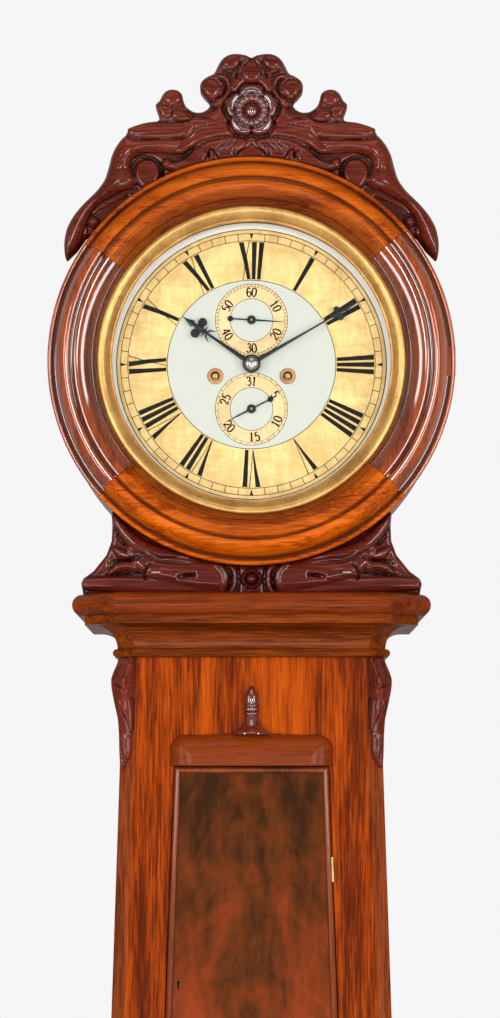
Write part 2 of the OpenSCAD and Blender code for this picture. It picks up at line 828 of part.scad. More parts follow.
module lock_bolt() color(brass)
  box_between(
    [-door_half(lock_z) + 0.4, bolt_y - 1.9, lock_z - bolt_half_h + 0.1],
    [-door_half(lock_z) + door_bead_w + 14, bolt_y + 1.9, lock_z + bolt_half_h - 0.1]
  );

// Hood

// The round-nosed slab that carries the drum, open at the back so that the hood slides off
module slab_profile() {
  translate([-big, cornice_z1])
    square([big + slab_proud - slab_t / 2, slab_t]);
  translate([slab_proud - slab_t / 2, cornice_z1 + slab_t / 2])
    circle(r = slab_t / 2);
}

cradle_half = 165;

module hood_base() color(mahogany) {
  difference() {
    wrapped(trunk_top_w / 2, -trunk_y, corner_cut) slab_profile();
    box_between([-slot_half, slot_y, cornice_z1 - 1], [slot_half, back_y + 1, slab_z1 + 1]);
  }
  // Blocks behind the saddle, hollowed to carry the drum
  both_sides()
    upright(slot_y, inner_back_y)
      difference() {
        translate([slot_half, slab_z1])
          square([cradle_half - slot_half, barrel_r / 2]);
        translate([0, drum_z])
          circle(r = barrel_r + tiny);
        translate([0, drum_z])
          square([2 * barrel_r, barrel_r * 1.2], center = true);
      }
}

module hood_drum() color(mahogany) difference() {
  translate([0, 0, drum_z])
    difference() {
      rod(barrel_r, drum_y, back_y);
      rod(barrel_bore, drum_y - 1, back_y + 1);
    }
  box_between([-slot_half, slot_y, slab_z1], [slot_half, back_y + 1, drum_z - barrel_bore / 2]);
}

module drum_frame() color(mahogany)
  translate([0, 0, drum_z])
    difference() {
      rod(barrel_bore - tiny, drum_y, drum_y + frame_ring_t);
      rod(frame_ring_r, drum_y - 1, drum_y + frame_ring_t + 1);
    }

saddle_rise = 99;

// One side of the saddle, from the middle out: under the drum, over the shoulder, down to the slab
saddle_side = [
  [saddle_half_w - 37, saddle_rise], [saddle_half_w - 37.5, 84], [saddle_half_w - 36, 66],
  [saddle_half_w - 30, 49], [saddle_half_w - 14, 29], [saddle_half_w - 2, 20],
  [saddle_half_w, 14], [saddle_half_w - 2, 0]
];

module saddle_outline() difference() {
  half = [for (p = smooth(saddle_side, 4)) [p[0], slab_z1 + p[1]]];
  polygon(concat([[0, slab_z1], [0, slab_z1 + saddle_rise]], half));
  translate([0, drum_z])
    circle(r = barrel_r + tiny);
}

// A tapering leaf lobe from its root to its tip, raised from the ground of the carving
module leaf_lobe(root, tip, width) {
  length = norm(tip - root);
  translate(root)
    rotate(atan2(tip[1] - root[1], tip[0] - root[0]))
      polygon(concat(
        [[0, -width * 0.2]],
        [for (i = [1:7]) [length * i / 8, -width / 2 * sin(180 * pow(i / 8, 0.8))]],
        [[length, 0]],
        [for (i = [7:-1:1]) [length * i / 8, width / 2 * sin(180 * pow(i / 8, 0.8))]],
        [[0, width * 0.2]]
      ));
}

saddle_ground = drum_y + relief;

module saddle_carving() color(dark_mahogany) {
  both_sides() {
    upright(saddle_ground, drum_y + crest_t - 2)
      saddle_outline();
    upright(drum_y, saddle_ground + tiny)
      intersection() {
        saddle_outline();
        translate([0, slab_z1])
          union() {
            leaf_lobe([42, 14], [112, 10], 24);
            leaf_lobe([70, 24], [168, 46], 30);
            leaf_lobe([96, 12], [saddle_half_w - 2, 8], 22);
            leaf_lobe([110, 30], [saddle_half_w - 36, 96], 26);
            leaf_lobe([128, 20], [saddle_half_w - 10, 26], 20);
            difference() {
              translate([28, 14])
                circle(r = 17);
              translate([33, 14])
                circle(r = 12.5);
            }
          }
      }
  }
  translate([0, 0, slab_z1 + 15])
    difference() {
      rod(10, drum_y - 3, saddle_ground + tiny);
      translate([0, drum_y - 3, 0])
        sphere(r = 6);
    }
}

// One side of the crest: its angle round the drum from the top, and its rise above the drum
crest_side = [
  [0, 127.5], [1.5, 130], [3.5, 133], [5, 130.5], [6.7, 122], [7.4, 110], [9.2, 105],
  [9.8, 94], [10, 82], [9.3, 74], [9.9, 68], [11.3, 66.5], [13, 70], [14.2, 78],
  [14.6, 86], [16, 90.5], [17.3, 90], [18.6, 82], [19.6, 75], [20, 68], [20.7, 59.5],
  [24.2, 79], [27, 74.5], [29.5, 69.5], [32, 60], [36, 52], [40, 47.5], [44, 42],
  [48, 34], [52, 30], [55, 26.5], [58, 20.5], [60.7, 13]
];
tail_inner = [[59.2, 9.5], [57.2, 8.3], [54.8, 8], [52.4, 7.8], [51.2, 3.5]];

function on_drum(p) = (barrel_r + p[1]) * [sin(p[0]), cos(p[0])];

module crest_half() {
  polygon(concat(
    [for (p = smooth(crest_side, 3)) on_drum(p)],
    [for (p = smooth(tail_inner, 3)) on_drum(p)],
    [on_drum([48, -3]), on_drum([31, -6]), on_drum([15, -6]), on_drum([0, -6])]
  ));
}

rosette_at = [0, 57.5];
rosette_r = 31;

module crest_carving() color(dark_mahogany) {
  ground = drum_y + relief + 3;
  // The scroll heads: angle, rise and radius of each
  scrolls = [[8.6, 87, 12.6], [16.7, 77, 12.4], [29, 28, 13], [2.6, 116, 12]];
  translate([0, 0, drum_z]) {
    both_sides() {
      upright(ground, drum_y + crest_t)
        difference() {
          union() {
            crest_half();
            for (s = scrolls)
              translate(on_drum([s[0], s[1]]))
                circle(r = s[2]);
          }
          circle(r = barrel_r + tiny);
          translate([-big, -big / 2])
            square([big, big]);
        }
      upright(ground - relief, ground + tiny)
        difference() {
          union() {
            leaf_lobe(on_drum([5, 40]), on_drum([24, 66]), 26);
            leaf_lobe(on_drum([3, 22]), on_drum([26, 34]), 22);
            leaf_lobe(on_drum([2, 8]), on_drum([18, 12]), 14);
            leaf_lobe(on_drum([14, 36]), on_drum([37, 44]), 30);
            leaf_lobe(on_drum([30, 44]), on_drum([47, 24]), 26);
            leaf_lobe(on_drum([41, 28]), on_drum([58.5, 14]), 15);
            leaf_lobe(on_drum([11, 52]), on_drum([9.6, 100]), 17);
            leaf_lobe(on_drum([12, 46]), on_drum([18.6, 84]), 15);
          }
          circle(r = barrel_r + tiny);
        }
      for (s = scrolls)
        translate([on_drum(s)[0], 0, on_drum(s)[1]])
          turned(ground)
            polygon([
              [0, 0], [s[2] - 1, 0], [s[2] - 1, 4], [s[2] - 4, 7.5], [s[2] - 6, 5], [3, 8], [0, 8.5]
            ]);
    }
    // The rosette: eight petals round a fluted cup and a button
    translate([0, 0, barrel_r + rosette_at[1]])
      difference() {
        turned(ground)
          polygon(concat(
            [[0, 0]],
            ellipse([rosette_r - 8, 0], 8, 9.5, 0, 110, 6),
            [[13, 3], [9.5, 3], [9.5, 6], [6, 9.5], [0, 10.5]]
          ));
        for (i = [0:7])
          rotate([0, i * 45 + 22.5, 0])
            translate([rosette_r + 2, 0, 0])
              rod(5, ground - 20, ground + 1);
      }
  }
}

// The round door's hinge: leaves on the drum, a knuckle on the door
module at_hood_hinge() {
  translate([hood_hinge_x, hood_hinge_y, drum_z])
    children();
}

module hood_hinge_leaves() color(brass) at_hood_hinge() {
  third = 2 * hood_hinge_half / 3;
  for (side = [-1, 1])
    translate([0, 0, side * third]) {
      cylinder(r = hood_knuckle_r, h = third - 2 * seat_gap, center = true);
      box_between([0.1, 0, -third / 2 + seat_gap], [hood_knuckle_r - 0.8, 24, third / 2 - seat_gap]);
    }
  cylinder(r = hinge_pin_r, h = 2 * hood_hinge_half, center = true);
}

module hood_door_knuckle() color(brass) at_hood_hinge() {
  third = 2 * hood_hinge_half / 3;
  difference() {
    union() {
      cylinder(r = hood_knuckle_r, h = third - 2 * seat_gap, center = true);
      box_between([-hood_knuckle_r - 0.3, -1.5, -third / 2 + seat_gap], [0, 1, third / 2 - seat_gap]);
    }
    cylinder(r = hinge_pin_r + pivot_gap, h = third + 1, center = true);
  }
}

// The moulded profile of the round door, as radius and height in front of the drum
module ring_profile() {
  quirk_h = edge_bead_h + 1.5;
  groove_h = ring_t - 7;
  step_h = ring_t - 11.5;
  low_h = ring_t - 24;
  polygon(concat(
    [[slip_r1, 0], [ring_r, 0]],
    ellipse([ring_r - edge_bead_w / 2, edge_bead_h], edge_bead_w / 2, edge_bead_w / 2, 0, 150, 8),
    [[ring_r - edge_bead_w, quirk_h], [torus_r1, quirk_h]],
    ellipse([groove_r1 + 3.2, edge_bead_h + 2], torus_w - 3.2, ring_t - edge_bead_h - 2, 0, 90, 10),
    ellipse([groove_r1 + 3.2, ring_t - 3.2], 3.2, 3.2, 110, 180, 4),
    [[groove_r1, groove_h], [inner_torus_r1, groove_h]],
    ellipse([inner_torus_r1 - 6, ring_t - 5], 6, 5, 0, 90, 5),
    ellipse([band_r1 + 7, step_h], 6, ring_t - step_h, 100, 180, 6),
    [[band_r1, step_h], [band_r1, ring_t - 16], [slip_r1, low_h]]
  ));
}

module hood_door_ring() color(mahogany) difference() {
  translate([0, 0, drum_z])
    turned(door_plane) ring_profile();
  // The notch that the hinge folds into
  box_between(
    [hood_hinge_x - hood_knuckle_r - 0.4, hood_hinge_y - 3, drum_z - hood_hinge_half - 0.4],
    [ring_r + 1, door_plane + 1, drum_z + hood_hinge_half + 0.4]
  );
}

module gilt_slip() color("#d9b45a")
  translate([0, 0, drum_z])
    turned(door_plane)
      polygon(concat(
        [[sight_r, slip_back], [slip_r1 - tiny, slip_back], [slip_r1 - tiny, ring_t - 22]],
        ellipse([slip_r1 - 6, ring_t - 22], 5, 4.5, 60, 150, 5),
        ellipse([sight_r + 4, ring_t - 20], 5, 11, 300, 250, 3),
        [[sight_r + 1.5, slip_back + 3], [sight_r, slip_back + 2]]
      ));

module hood_glass() color("#cfe3e6", 0.3)
  translate([0, 0, drum_z])
    rod(slip_r1 - 0.4, door_plane - slip_back + 0.1, door_plane - slip_back + 0.1 + glass_t);

// Movement frame and dial

line_xs = [winding_x - pulley_r, winding_x + pulley_r];

module seatboard() color(mahogany) difference() {
  box_between([-cheek_half, cheek_front_y, seat_z], [cheek_half, movement_end_y + 6, seat_z + seatboard_t]);
  both_sides()
    for (x = line_xs)
      translate([x, line_y, seat_z - 1])
        cylinder(r = 5, h = seatboard_t + 2);
}

// Every arbor's hole in a plate: place and radius
plate_holes = [
  [[0, 0], arbor_r], [third_at, arbor_r], [escape_at, arbor_r], [gathering_at, arbor_r],
  [pin_at, arbor_r], [warning_at, arbor_r], [fly_at, arbor_r], [pallet_at, arbor_r],
  [time_barrel_at, winding_arbor_r], [strike_barrel_at, winding_arbor_r]
];

module plate(y) difference() {
  box_between([-plate_half_w, y, drum_z - plate_fall], [plate_half_w, y + plate_t, drum_z + plate_rise]);
  for (h = plate_holes)
    at_arbor(h[0])
      rod(h[1] + pivot_gap, y - 1, y + plate_t + 1);
}

module front_plate() color(brass) plate(plate_y);
module back_plate() color(brass) plate(back_plate_y);

pillar_places = [for (x = [-1, 1], z = [-plate_fall + 9, plate_rise - 9]) [x * pillar_x, z]];
foot_places = [for (x = [-1, 1], z = [-1, 1]) [x * (plate_half_w - 5), z * 42 + 20]];

// Turned pillars between the plates, and the feet that carry the dial
module pillars() color(brass) {
  for (p = pillar_places)
    at_arbor(p)
      turned(back_plate_y)
        polygon([
          [0, 0], [pillar_r, 0], [pillar_r, 4], [3, 8], [3, plate_gap / 2 - 3], [pillar_r, plate_gap / 2],
          [3, plate_gap / 2 + 3], [3, plate_gap - 8], [pillar_r, plate_gap - 4],
          [pillar_r, plate_gap], [0, plate_gap]
        ]);
  for (p = foot_places)
    at_arbor(p)
      rod(2.5, dial_y + dial_t, plate_y);
}

module dial() color("#e8e2cf") difference() {
  translate([0, 0, drum_z])
    rod(dial_r, dial_y, dial_y + dial_t);
  at_arbor([0, 0])
    rod(5, dial_y - 1, dial_y + dial_t + 1);
  for (p = [escape_at, date_at])
    at_arbor(p)
      rod(arbor_r + pivot_gap, dial_y - 1, dial_y + dial_t + 1);
  for (p = [time_barrel_at, strike_barrel_at])
    at_arbor(p)
      rod(7.5, dial_y - 1, dial_y + dial_t + 1);
}

module winding_collets() color(brass)
  for (p = [time_barrel_at, strike_barrel_at])
    at_arbor(p)
      turned(dial_y + dial_t)
        polygon([
          [5.6, 0], [7.45, 0], [7.45, dial_t], [10, dial_t], [9.4, dial_t + 1.2], [5.6, dial_t + 1.2]
        ]);

// The cock that hangs the pendulum, and the stand of the bell
bell_z = drum_z + plate_rise + 8;
bell_at_y = (plate_y + movement_end_y) / 2;
bell_top = bell_z + bell_r * 0.95;

module movement_brackets() color(brass) {
  difference() {
    box_between([-12, movement_end_y, pivot_z - 10], [12, suspension_y + 6, pivot_z + 8]);
    box_between([-8, movement_end_y - 1, pivot_z - 11], [8, suspension_y - 5, pivot_z + 3.5]);
    box_between([-3, suspension_y - 6, pivot_z - 11], [3, suspension_y + 7, pivot_z - 1]);
  }
  // The post rises inside the bell, from a foot on top of the back plate
  box_between([-7, bell_at_y - 4, drum_z + plate_rise], [7, movement_end_y, drum_z + plate_rise + 4]);
  translate([0, bell_at_y, drum_z + plate_rise + 4])
    cylinder(r = 3, h = bell_top - bell_t - drum_z - plate_rise - 4);
  translate([0, bell_at_y, bell_top])
    cylinder(r = 5, h = 3);
}

function bell_curve(r, h) = concat(
  [[r, 0], [r * 0.93, h * 0.12], [r * 0.86, h * 0.4]],
  ellipse([0, h * 0.45], r * 0.84, h * 0.55, 10, 90, 8)
);

module bell() color(brass)
  translate([0, bell_at_y, bell_z])
    rotate_extrude()
      polygon(concat(
        bell_curve(bell_r, bell_r * 0.95),
        [for (i = [10:-1:0]) bell_curve(bell_r - bell_t, bell_r * 0.95 - bell_t)[i]]
      ));

// Going train

module centre_wheel() color(brass) at_arbor([0, 0]) {
  arbor(minute_hand_y - 3, movement_end_y);
  wheel(centre_n, centre_m, bearing([0, 0], third_at), centre_wheel_y, wheel_t, arbor_r + tiny, 4);
  pinion(pinion_n, great_m, bearing([0, 0], time_barrel_at), great_wheel_y - 1, wheel_t + 2);
  wheel(cannon_n, cannon_m, bearing([0, 0], minute_at), cannon_y, wheel_t, arbor_r + tiny);
}

module third_wheel() color(brass) at_arbor(third_at) {
  arbor(plate_y, movement_end_y);
  pinion(pinion_n, centre_m, bearing(third_at, [0, 0]), centre_wheel_y - 0.5, wheel_t + 1.4);
  wheel(third_n, third_m, bearing(third_at, escape_at), third_wheel_y, wheel_t, arbor_r + tiny, 4);
}

escape_r = 18;

module escape_outline() {
  step = 360 / escape_n;
  difference() {
    polygon([for (i = [0:escape_n - 1]) let(a = i * step)
      each [
        escape_r * 0.84 * [cos(a - step * 0.5), sin(a - step * 0.5)],
        escape_r * [cos(a - step * 0.16), sin(a - step * 0.16)],
        escape_r * [cos(a - step * 0.1), sin(a - step * 0.1)],
        escape_r * 0.84 * [cos(a + step * 0.1), sin(a + step * 0.1)]
      ]]);
    circle(r = (arbor_r + tiny) / cos(15), $fn = 12);
    for (i = [0:3])
      rotate(i * 90)
        polygon(concat(
          ellipse([0, 0], escape_r * 0.7, escape_r * 0.7, 9, 81, 6),
          ellipse([0, 0], 4.4, 4.4, 62, 28, 3)
        ));
  }
}

module escape_wheel() color(brass) at_arbor(escape_at) {
  arbor(small_hand_y - 0.8, movement_end_y);
  pinion(escape_pinion_n, third_m, bearing(escape_at, third_at), third_wheel_y - 1, wheel_t + 2);
  upright(escape_wheel_y, escape_wheel_y + wheel_t)
    escape_outline();
}

// A barrel with its great wheel, grooved for the gut line, on an arbor with a square for the key
module barrel(teeth, module_mm, tooth_angle) {
  grooves = 14;
  pitch = (barrel_y1 - barrel_y0 - 4) / grooves;
  arbor(dial_y + 6, movement_end_y, winding_arbor_r);
  translate([0, dial_y + 6, 0])
    rotate([90, 0, 0])
      translate([-2.5, -2.5, 0])
        cube([5, 5, 8]);
  wheel(teeth, module_mm, tooth_angle, great_wheel_y, wheel_t, winding_arbor_r + tiny, 4);
  turned(barrel_y1)
    polygon(concat(
      [[winding_arbor_r + tiny, 0], [barrel_drum_r + 4, 0], [barrel_drum_r + 4, 2]],
      [for (i = [0:grooves - 1]) each [
        [barrel_drum_r, 2 + pitch * i], [barrel_drum_r - line_r, 2 + pitch * (i + 0.5)]
      ]],
      [
        [barrel_drum_r, barrel_y1 - barrel_y0 - 2], [barrel_drum_r + 4, barrel_y1 - barrel_y0 - 2],
        [barrel_drum_r + 4, barrel_y1 - barrel_y0], [winding_arbor_r + tiny, barrel_y1 - barrel_y0]
      ]
    ));
}

module time_barrel() color(brass) at_arbor(time_barrel_at)
  barrel(great_n, great_m, bearing(time_barrel_at, [0, 0]));

// Motion work

pipe_r = arbor_r + pivot_gap;

module minute_wheel() color(brass) at_arbor(minute_at) {
  arbor(hour_wheel_y - 1.5, plate_y);
  pinion(cannon_n, cannon_m, bearing(minute_at, [0, 0]), cannon_y, wheel_t);
  pinion(minute_pinion_n, hour_m, bearing(minute_at, [0, 0]), hour_wheel_y - 0.8, wheel_t + 1.6);
}

// The hour wheel and the stepped snail turn on a pipe round the centre arbor
module hour_wheel() color(brass) at_arbor([0, 0]) {
  wheel(hour_n, hour_m, bearing([0, 0], minute_at), hour_wheel_y, wheel_t, pipe_r + 1, 4);
  difference() {
    rod(pipe_r + 0.9, hour_hand_y - 2, hour_wheel_y + wheel_t);
    rod(pipe_r, hour_hand_y - 3, hour_wheel_y + wheel_t + 1);
  }
  upright(snail_y, snail_y + 1.2)
    difference() {
      polygon([
        for (i = [0:11], k = [0, 1]) (8 + i * 0.9) * [cos(i * 30 + k * 29.9), sin(i * 30 + k * 29.9)]
      ]);
      circle(r = (pipe_r + 0.92) / cos(15), $fn = 12);
    }
}

// The hour hand: a tapering arm that ends in a trefoil and a pointed arrow
module hour_hand_outline() {
  l = hour_hand_l;
  difference() {
    union() {
      circle(r = 7);
      polygon([[-2.6, 0], [2.6, 0], [1.4, l * 0.82], [-1.4, l * 0.82]]);
      for (side = [-1, 1]) {
        translate([side * 5.4, l * 0.76])
          circle(r = 4.2);
        translate([side * 3.2, l * 0.845])
          circle(r = 2.6);
      }
      translate([0, l * 0.80])
        circle(r = 4);
      polygon([[-3.2, l * 0.83], [3.2, l * 0.83], [0.5, l], [-0.5, l]]);
    }
    circle(r = pipe_r + 0.91);
  }
}

module minute_hand_outline() {
  l = minute_hand_l;
  union() {
    circle(r = 7);
    polygon([[-2.2, 0], [2.2, 0], [1.1, l * 0.9], [-1.1, l * 0.9]]);
    for (side = [-1, 1])
      translate([side * 3.6, l * 0.865])
        circle(r = 3);
    translate([0, l * 0.89])
      circle(r = 2.8);
    polygon([[-1.9, l * 0.89], [1.9, l * 0.89], [0.4, l], [-0.4, l]]);
  }
}

// The hands show ten past ten
hour_angle = 304.5;
minute_angle = 60;
seconds_angle = 93.5;
date_angle = 243;

module hour_hand() color(steel) at_arbor([0, 0])
  rotate([0, hour_angle, 0])
    upright(hour_hand_y, hour_hand_y + hand_t)
      hour_hand_outline();

module minute_hand() color(steel) at_arbor([0, 0]) {
  rotate([0, minute_angle, 0])
    upright(minute_hand_y, minute_hand_y + hand_t)
      difference() {
        minute_hand_outline();
        circle(r = arbor_r + tiny);
      }
  // The collet and domed nut that hold the hands
  turned(minute_hand_y)
    polygon([
      [arbor_r + tiny, 0], [8, 0], [8, 1.6], [6.5, 2.6], [5.5, 5.5], [3.4, 7], [0, 7], [0, 3.1],
      [arbor_r + tiny, 3.1]
    ]);
}

module small_hand_outline(bore) {
  l = small_hand_l;
  difference() {
    union() {
      circle(r = 3.6);
      polygon([
        [-1.5, 0], [1.5, 0], [0.5, l * 0.7], [2.2, l * 0.78],
        [0.3, l], [-0.3, l], [-2.2, l * 0.78], [-0.5, l * 0.7]
      ]);
      polygon([[-0.8, 0], [-0.8, -l * 0.6], [0.8, -l * 0.6], [0.8, 0]]);
      translate([0, -l * 0.6])
        circle(r = 3.2);
    }
    circle(r = bore);
  }
}

module small_hand(place, angle, bore) {
  at_arbor(place)
    rotate([0, angle, 0])
      upright(small_hand_y, small_hand_y + hand_t)
        small_hand_outline(bore);
}

module seconds_hand() color(steel) small_hand(escape_at, seconds_angle, arbor_r + tiny);

// The date hand on its arbor, with the toothed date wheel behind the dial
module date_hand() color(steel) {
  small_hand(date_at, date_angle, arbor_r + tiny);
  at_arbor(date_at) {
    rod(arbor_r, small_hand_y - 0.8, dial_y + 8);
    upright(dial_y + 3, dial_y + 4.2)
      difference() {
        polygon([for (i = [0:date_n - 1]) let(a = i * 360 / date_n)
          each [17 * [cos(a), sin(a)], 20 * [cos(a + 4), sin(a + 4)]]]);
        circle(r = (arbor_r + tiny) / cos(15), $fn = 12);
      }
  }
}

// Striking train

module strike_barrel() color(brass) at_arbor(strike_barrel_at)
  barrel(strike_great_n, strike_great_m, bearing(strike_barrel_at, pin_at));

module pin_wheel() color(brass) at_arbor(pin_at) {
  arbor(plate_y, movement_end_y);
  pinion(pinion_n, strike_great_m, bearing(pin_at, strike_barrel_at), great_wheel_y - 1, wheel_t + 2);
  wheel(pin_n, pin_m, bearing(pin_at, gathering_at), pin_wheel_y, wheel_t, arbor_r + tiny);
  for (i = [0:7])
    rotate([0, i * 45, 0])
      translate([18, 0, 0])
        rod(0.8, pin_wheel_y - 2.6, pin_wheel_y + 0.5, $fn = 8);
}

// The gathering arbor carries the tail that gathers the rack, in front of the plate
module gathering_wheel() color(brass) at_arbor(gathering_at) {
  arbor(rack_y - 1, movement_end_y);
  pinion(pinion_n, pin_m, bearing(gathering_at, pin_at), pin_wheel_y - 0.5, wheel_t + 1);
  wheel(
    gathering_n, gathering_m, bearing(gathering_at, warning_at), gathering_wheel_y, wheel_t,
    arbor_r + tiny, 4
  );
  upright(rack_y, rack_y + 1.2)
    difference() {
      union() {
        circle(r = 3.2, $fn = 12);
        polygon([[-1.2, 0], [1.2, 0], [0.6, 6.5], [-0.6, 6.5]]);
      }
      circle(r = (arbor_r + tiny) / cos(15), $fn = 12);
    }
}

module warning_wheel() color(brass) at_arbor(warning_at) {
  arbor(plate_y, movement_end_y);
  pinion(
    warning_pinion_n, gathering_m, bearing(warning_at, gathering_at), gathering_wheel_y - 1, wheel_t + 2
  );
  wheel(warning_n, warning_m, bearing(warning_at, fly_at), warning_wheel_y, wheel_t, arbor_r + tiny, 4);
}

module fly() color(brass) at_arbor(fly_at) {
  arbor(plate_y, movement_end_y);
  pinion(fly_pinion_n, warning_m, bearing(fly_at, warning_at), warning_wheel_y - 1, wheel_t + 2);
  difference() {
    box_between([-13, warning_wheel_y + 6, -0.5], [13, warning_wheel_y + 20, 0.5]);
    rod(arbor_r + tiny, warning_wheel_y, warning_wheel_y + 30);
  }
  difference() {
    rod(arbor_r + 1.2, warning_wheel_y + 4, warning_wheel_y + 5.9);
    rod(arbor_r + tiny, warning_wheel_y, warning_wheel_y + 30);
  }
}

// The rack falls on the snail, and its teeth count the blows
rack_at = [-58, 2];
hook_at = [42, 62];
lifter_at = [-58, -40];

module rack() color(steel) at_arbor(rack_at) {
  reach = norm(gathering_at - rack_at) - 9;
  aim = bearing(rack_at, gathering_at);
  rod(1.5, rack_y - 3, plate_y);
  upright(rack_y, rack_y + 1.2)
    difference() {
      union() {
        circle(r = 4, $fn = 12);
        rotate(aim)
          polygon(concat(
            [[0, -2], [reach - 4, -2], [reach - 4, -9]],
            [for (i = [-8:8]) each [
              reach * [cos(i * 1.6 - 0.4), sin(i * 1.6 - 0.4)],
              (reach + 2) * [cos(i * 1.6 + 0.4), sin(i * 1.6 + 0.4)]
            ]],
            [[reach - 4, 9], [reach - 4, 2], [0, 2]]
          ));
      }
      circle(r = 1.52 / cos(15), $fn = 12);
    }
  // The tail that feels the snail
  upright(snail_y, snail_y + 1.2)
    difference() {
      union() {
        circle(r = 4, $fn = 12);
        rotate(-6)
          polygon([[0, -1.6], [33, -1], [35, -1], [35, 1], [0, 1.6]]);
      }
      circle(r = 1.52 / cos(15), $fn = 12);
    }
}

module rack_hook() color(steel) at_arbor(hook_at) {
  reach = norm(gathering_at - hook_at) - 4;
  rod(1.5, cannon_y - 1, plate_y);
  upright(cannon_y, cannon_y + 1.2)
    difference() {
      union() {
        circle(r = 4, $fn = 12);
        rotate(bearing(hook_at, gathering_at) + 9)
          polygon([[0, -2], [reach, -1.6], [reach, -5], [reach + 2, -5], [reach + 2.4, 1.6], [0, 2]]);
      }
      circle(r = 1.52 / cos(15), $fn = 12);
    }
}

module lifting_piece() color(steel) at_arbor(lifter_at) {
  rod(1.5, plate_y - 2.6, plate_y);
  upright(plate_y - 2, plate_y - 1)
    difference() {
      union() {
        circle(r = 4, $fn = 12);
        rotate(28)
          polygon([[0, -1.8], [30, -1.2], [30, 1.2], [0, 1.8]]);
        rotate(97)
          polygon([[0, -1.8], [86, -1.2], [86, -6], [88, -6], [88, 1.2], [0, 1.8]]);
      }
      circle(r = 1.52 / cos(15), $fn = 12);
    }
}

// The hammer stands beside the bell, its arbor between the plates
hammer_at = [-52, 84];
hammer_y = bell_at_y;

module hammer() color(steel) at_arbor(hammer_at) {
  rod(2, inside_y + seat_gap, back_plate_y - seat_gap);
  rise = bell_z + 10 - drum_z - hammer_at[1];
  box_between([-1.5, hammer_y - 1.5, 0], [1.5, hammer_y + 1.5, rise]);
  translate([0, hammer_y, rise])
    rotate([0, 90, 0])
      cylinder(r = 5.5, h = -hammer_at[0] - bell_r * 0.93 - 1.2);
}

// Pallets, pendulum and weights

module pallets() color(steel) at_arbor(pallet_at) {
  arbor(plate_y, movement_end_y + 14);
  // The anchor straddles the escape wheel and clears its teeth
  drop = norm(pallet_at - escape_at);
  span = 12.5;
  upright(escape_wheel_y - 0.6, escape_wheel_y + wheel_t + 0.6)
    difference() {
      union() {
        circle(r = 4, $fn = 12);
        polygon([
          [0, 3], [span + 3, -3], [span + 5, -drop + 14.2], [span + 3.4, -drop + 16.4], [span, -5], [0, -2],
          [-span, -5], [-span - 3.4, -drop + 16.4], [-span - 5, -drop + 14.2], [-span - 3, -3]
        ]);
      }
      circle(r = (arbor_r + tiny) / cos(15), $fn = 12);
    }
  // The crutch, whose fork embraces the pendulum rod
  difference() {
    box_between([-2, movement_end_y + 9, -130], [2, movement_end_y + 12, 3]);
    rod(arbor_r + tiny, movement_end_y, movement_end_y + 20);
  }
  for (side = [-1, 1])
    box_between(
      [side * (rod_r + 1.4) - 1, movement_end_y + 12, -130],
      [side * (rod_r + 1.4) + 1, suspension_y + 4, -124]
    );
  box_between([-rod_r - 2.4, movement_end_y + 10, -130], [rod_r + 2.4, movement_end_y + 12, -124]);
}

module pendulum_rod() color(steel) {
  translate([0, suspension_y, 0]) {
    // The suspension spring between its blocks, and the rod down to the rating thread
    box_between([-1.6, -1, pivot_z - 12], [1.6, 1, pivot_z - 1 - seat_gap]);
    box_between([-4, -2, pivot_z - 20], [4, 2, pivot_z - 12 + tiny]);
    translate([0, 0, bob_z - bob_r - 28])
      cylinder(r = rod_r, h = pivot_z - 19.99 - bob_z + bob_r + 28);
  }
}

module pendulum_bob() color(brass) translate([0, suspension_y, bob_z]) {
  difference() {
    turned(0)
      polygon(concat(
        ellipse([0, 0], bob_r, bob_t / 2, -90, -14, 10), [[bob_r, -rod_r - 0.8], [bob_r, rod_r + 0.8]],
        ellipse([0, 0], bob_r, bob_t / 2, 14, 90, 10)
      ));
    translate([0, 0, -bob_r - 1])
      cylinder(r = rod_r + 0.1, h = 2 * bob_r + 2);
  }
  // The rating nut under the bob
  translate([0, 0, -bob_r - 10])
    difference() {
      cylinder(r = 8, h = 8);
      translate([0, 0, -1])
        cylinder(r = rod_r + 0.1, h = 10);
    }
}

// A weight hangs by its hook from the stirrup of a pulley
module weight() {
  translate([winding_x, line_y, 0]) {
    translate([0, 0, weight_z1 - weight_h]) {
      cylinder(r = weight_r, h = weight_h - 6);
      translate([0, 0, weight_h - 6])
        cylinder(r1 = weight_r, r2 = weight_r - 8, h = 6);
    }
    translate([0, 0, weight_z1 - 1])
      cylinder(r = 3, h = pulley_z - weight_z1 - pulley_r - 4);
    for (side = [-1, 1])
      translate([0, side * (pulley_t / 2 + 1.6), 0])
        upright(-0.8, 0.8)
          polygon([
            [-5, pulley_z - pulley_r - 6], [5, pulley_z - pulley_r - 6], [4, pulley_z + 6], [-4, pulley_z + 6]
          ]);
    translate([-5, -pulley_t / 2 - 2.4, pulley_z - pulley_r - 8])
      cube([10, pulley_t + 4.8, 4]);
    translate([0, 0, pulley_z]) {
      rod(1.5, -pulley_t / 2 - 3, pulley_t / 2 + 3);
      translate([0, pulley_t / 2, 0])
        rotate([90, 0, 0])
          rotate_extrude()
            polygon([
              [1.5, 0], [pulley_r + 1.2, 0], [pulley_r - line_r - 0.1, pulley_t / 2 - line_r],
              [pulley_r - line_r - 0.1, pulley_t / 2 + line_r], [pulley_r + 1.2, pulley_t], [1.5, pulley_t]
            ]);
    }
  }
}

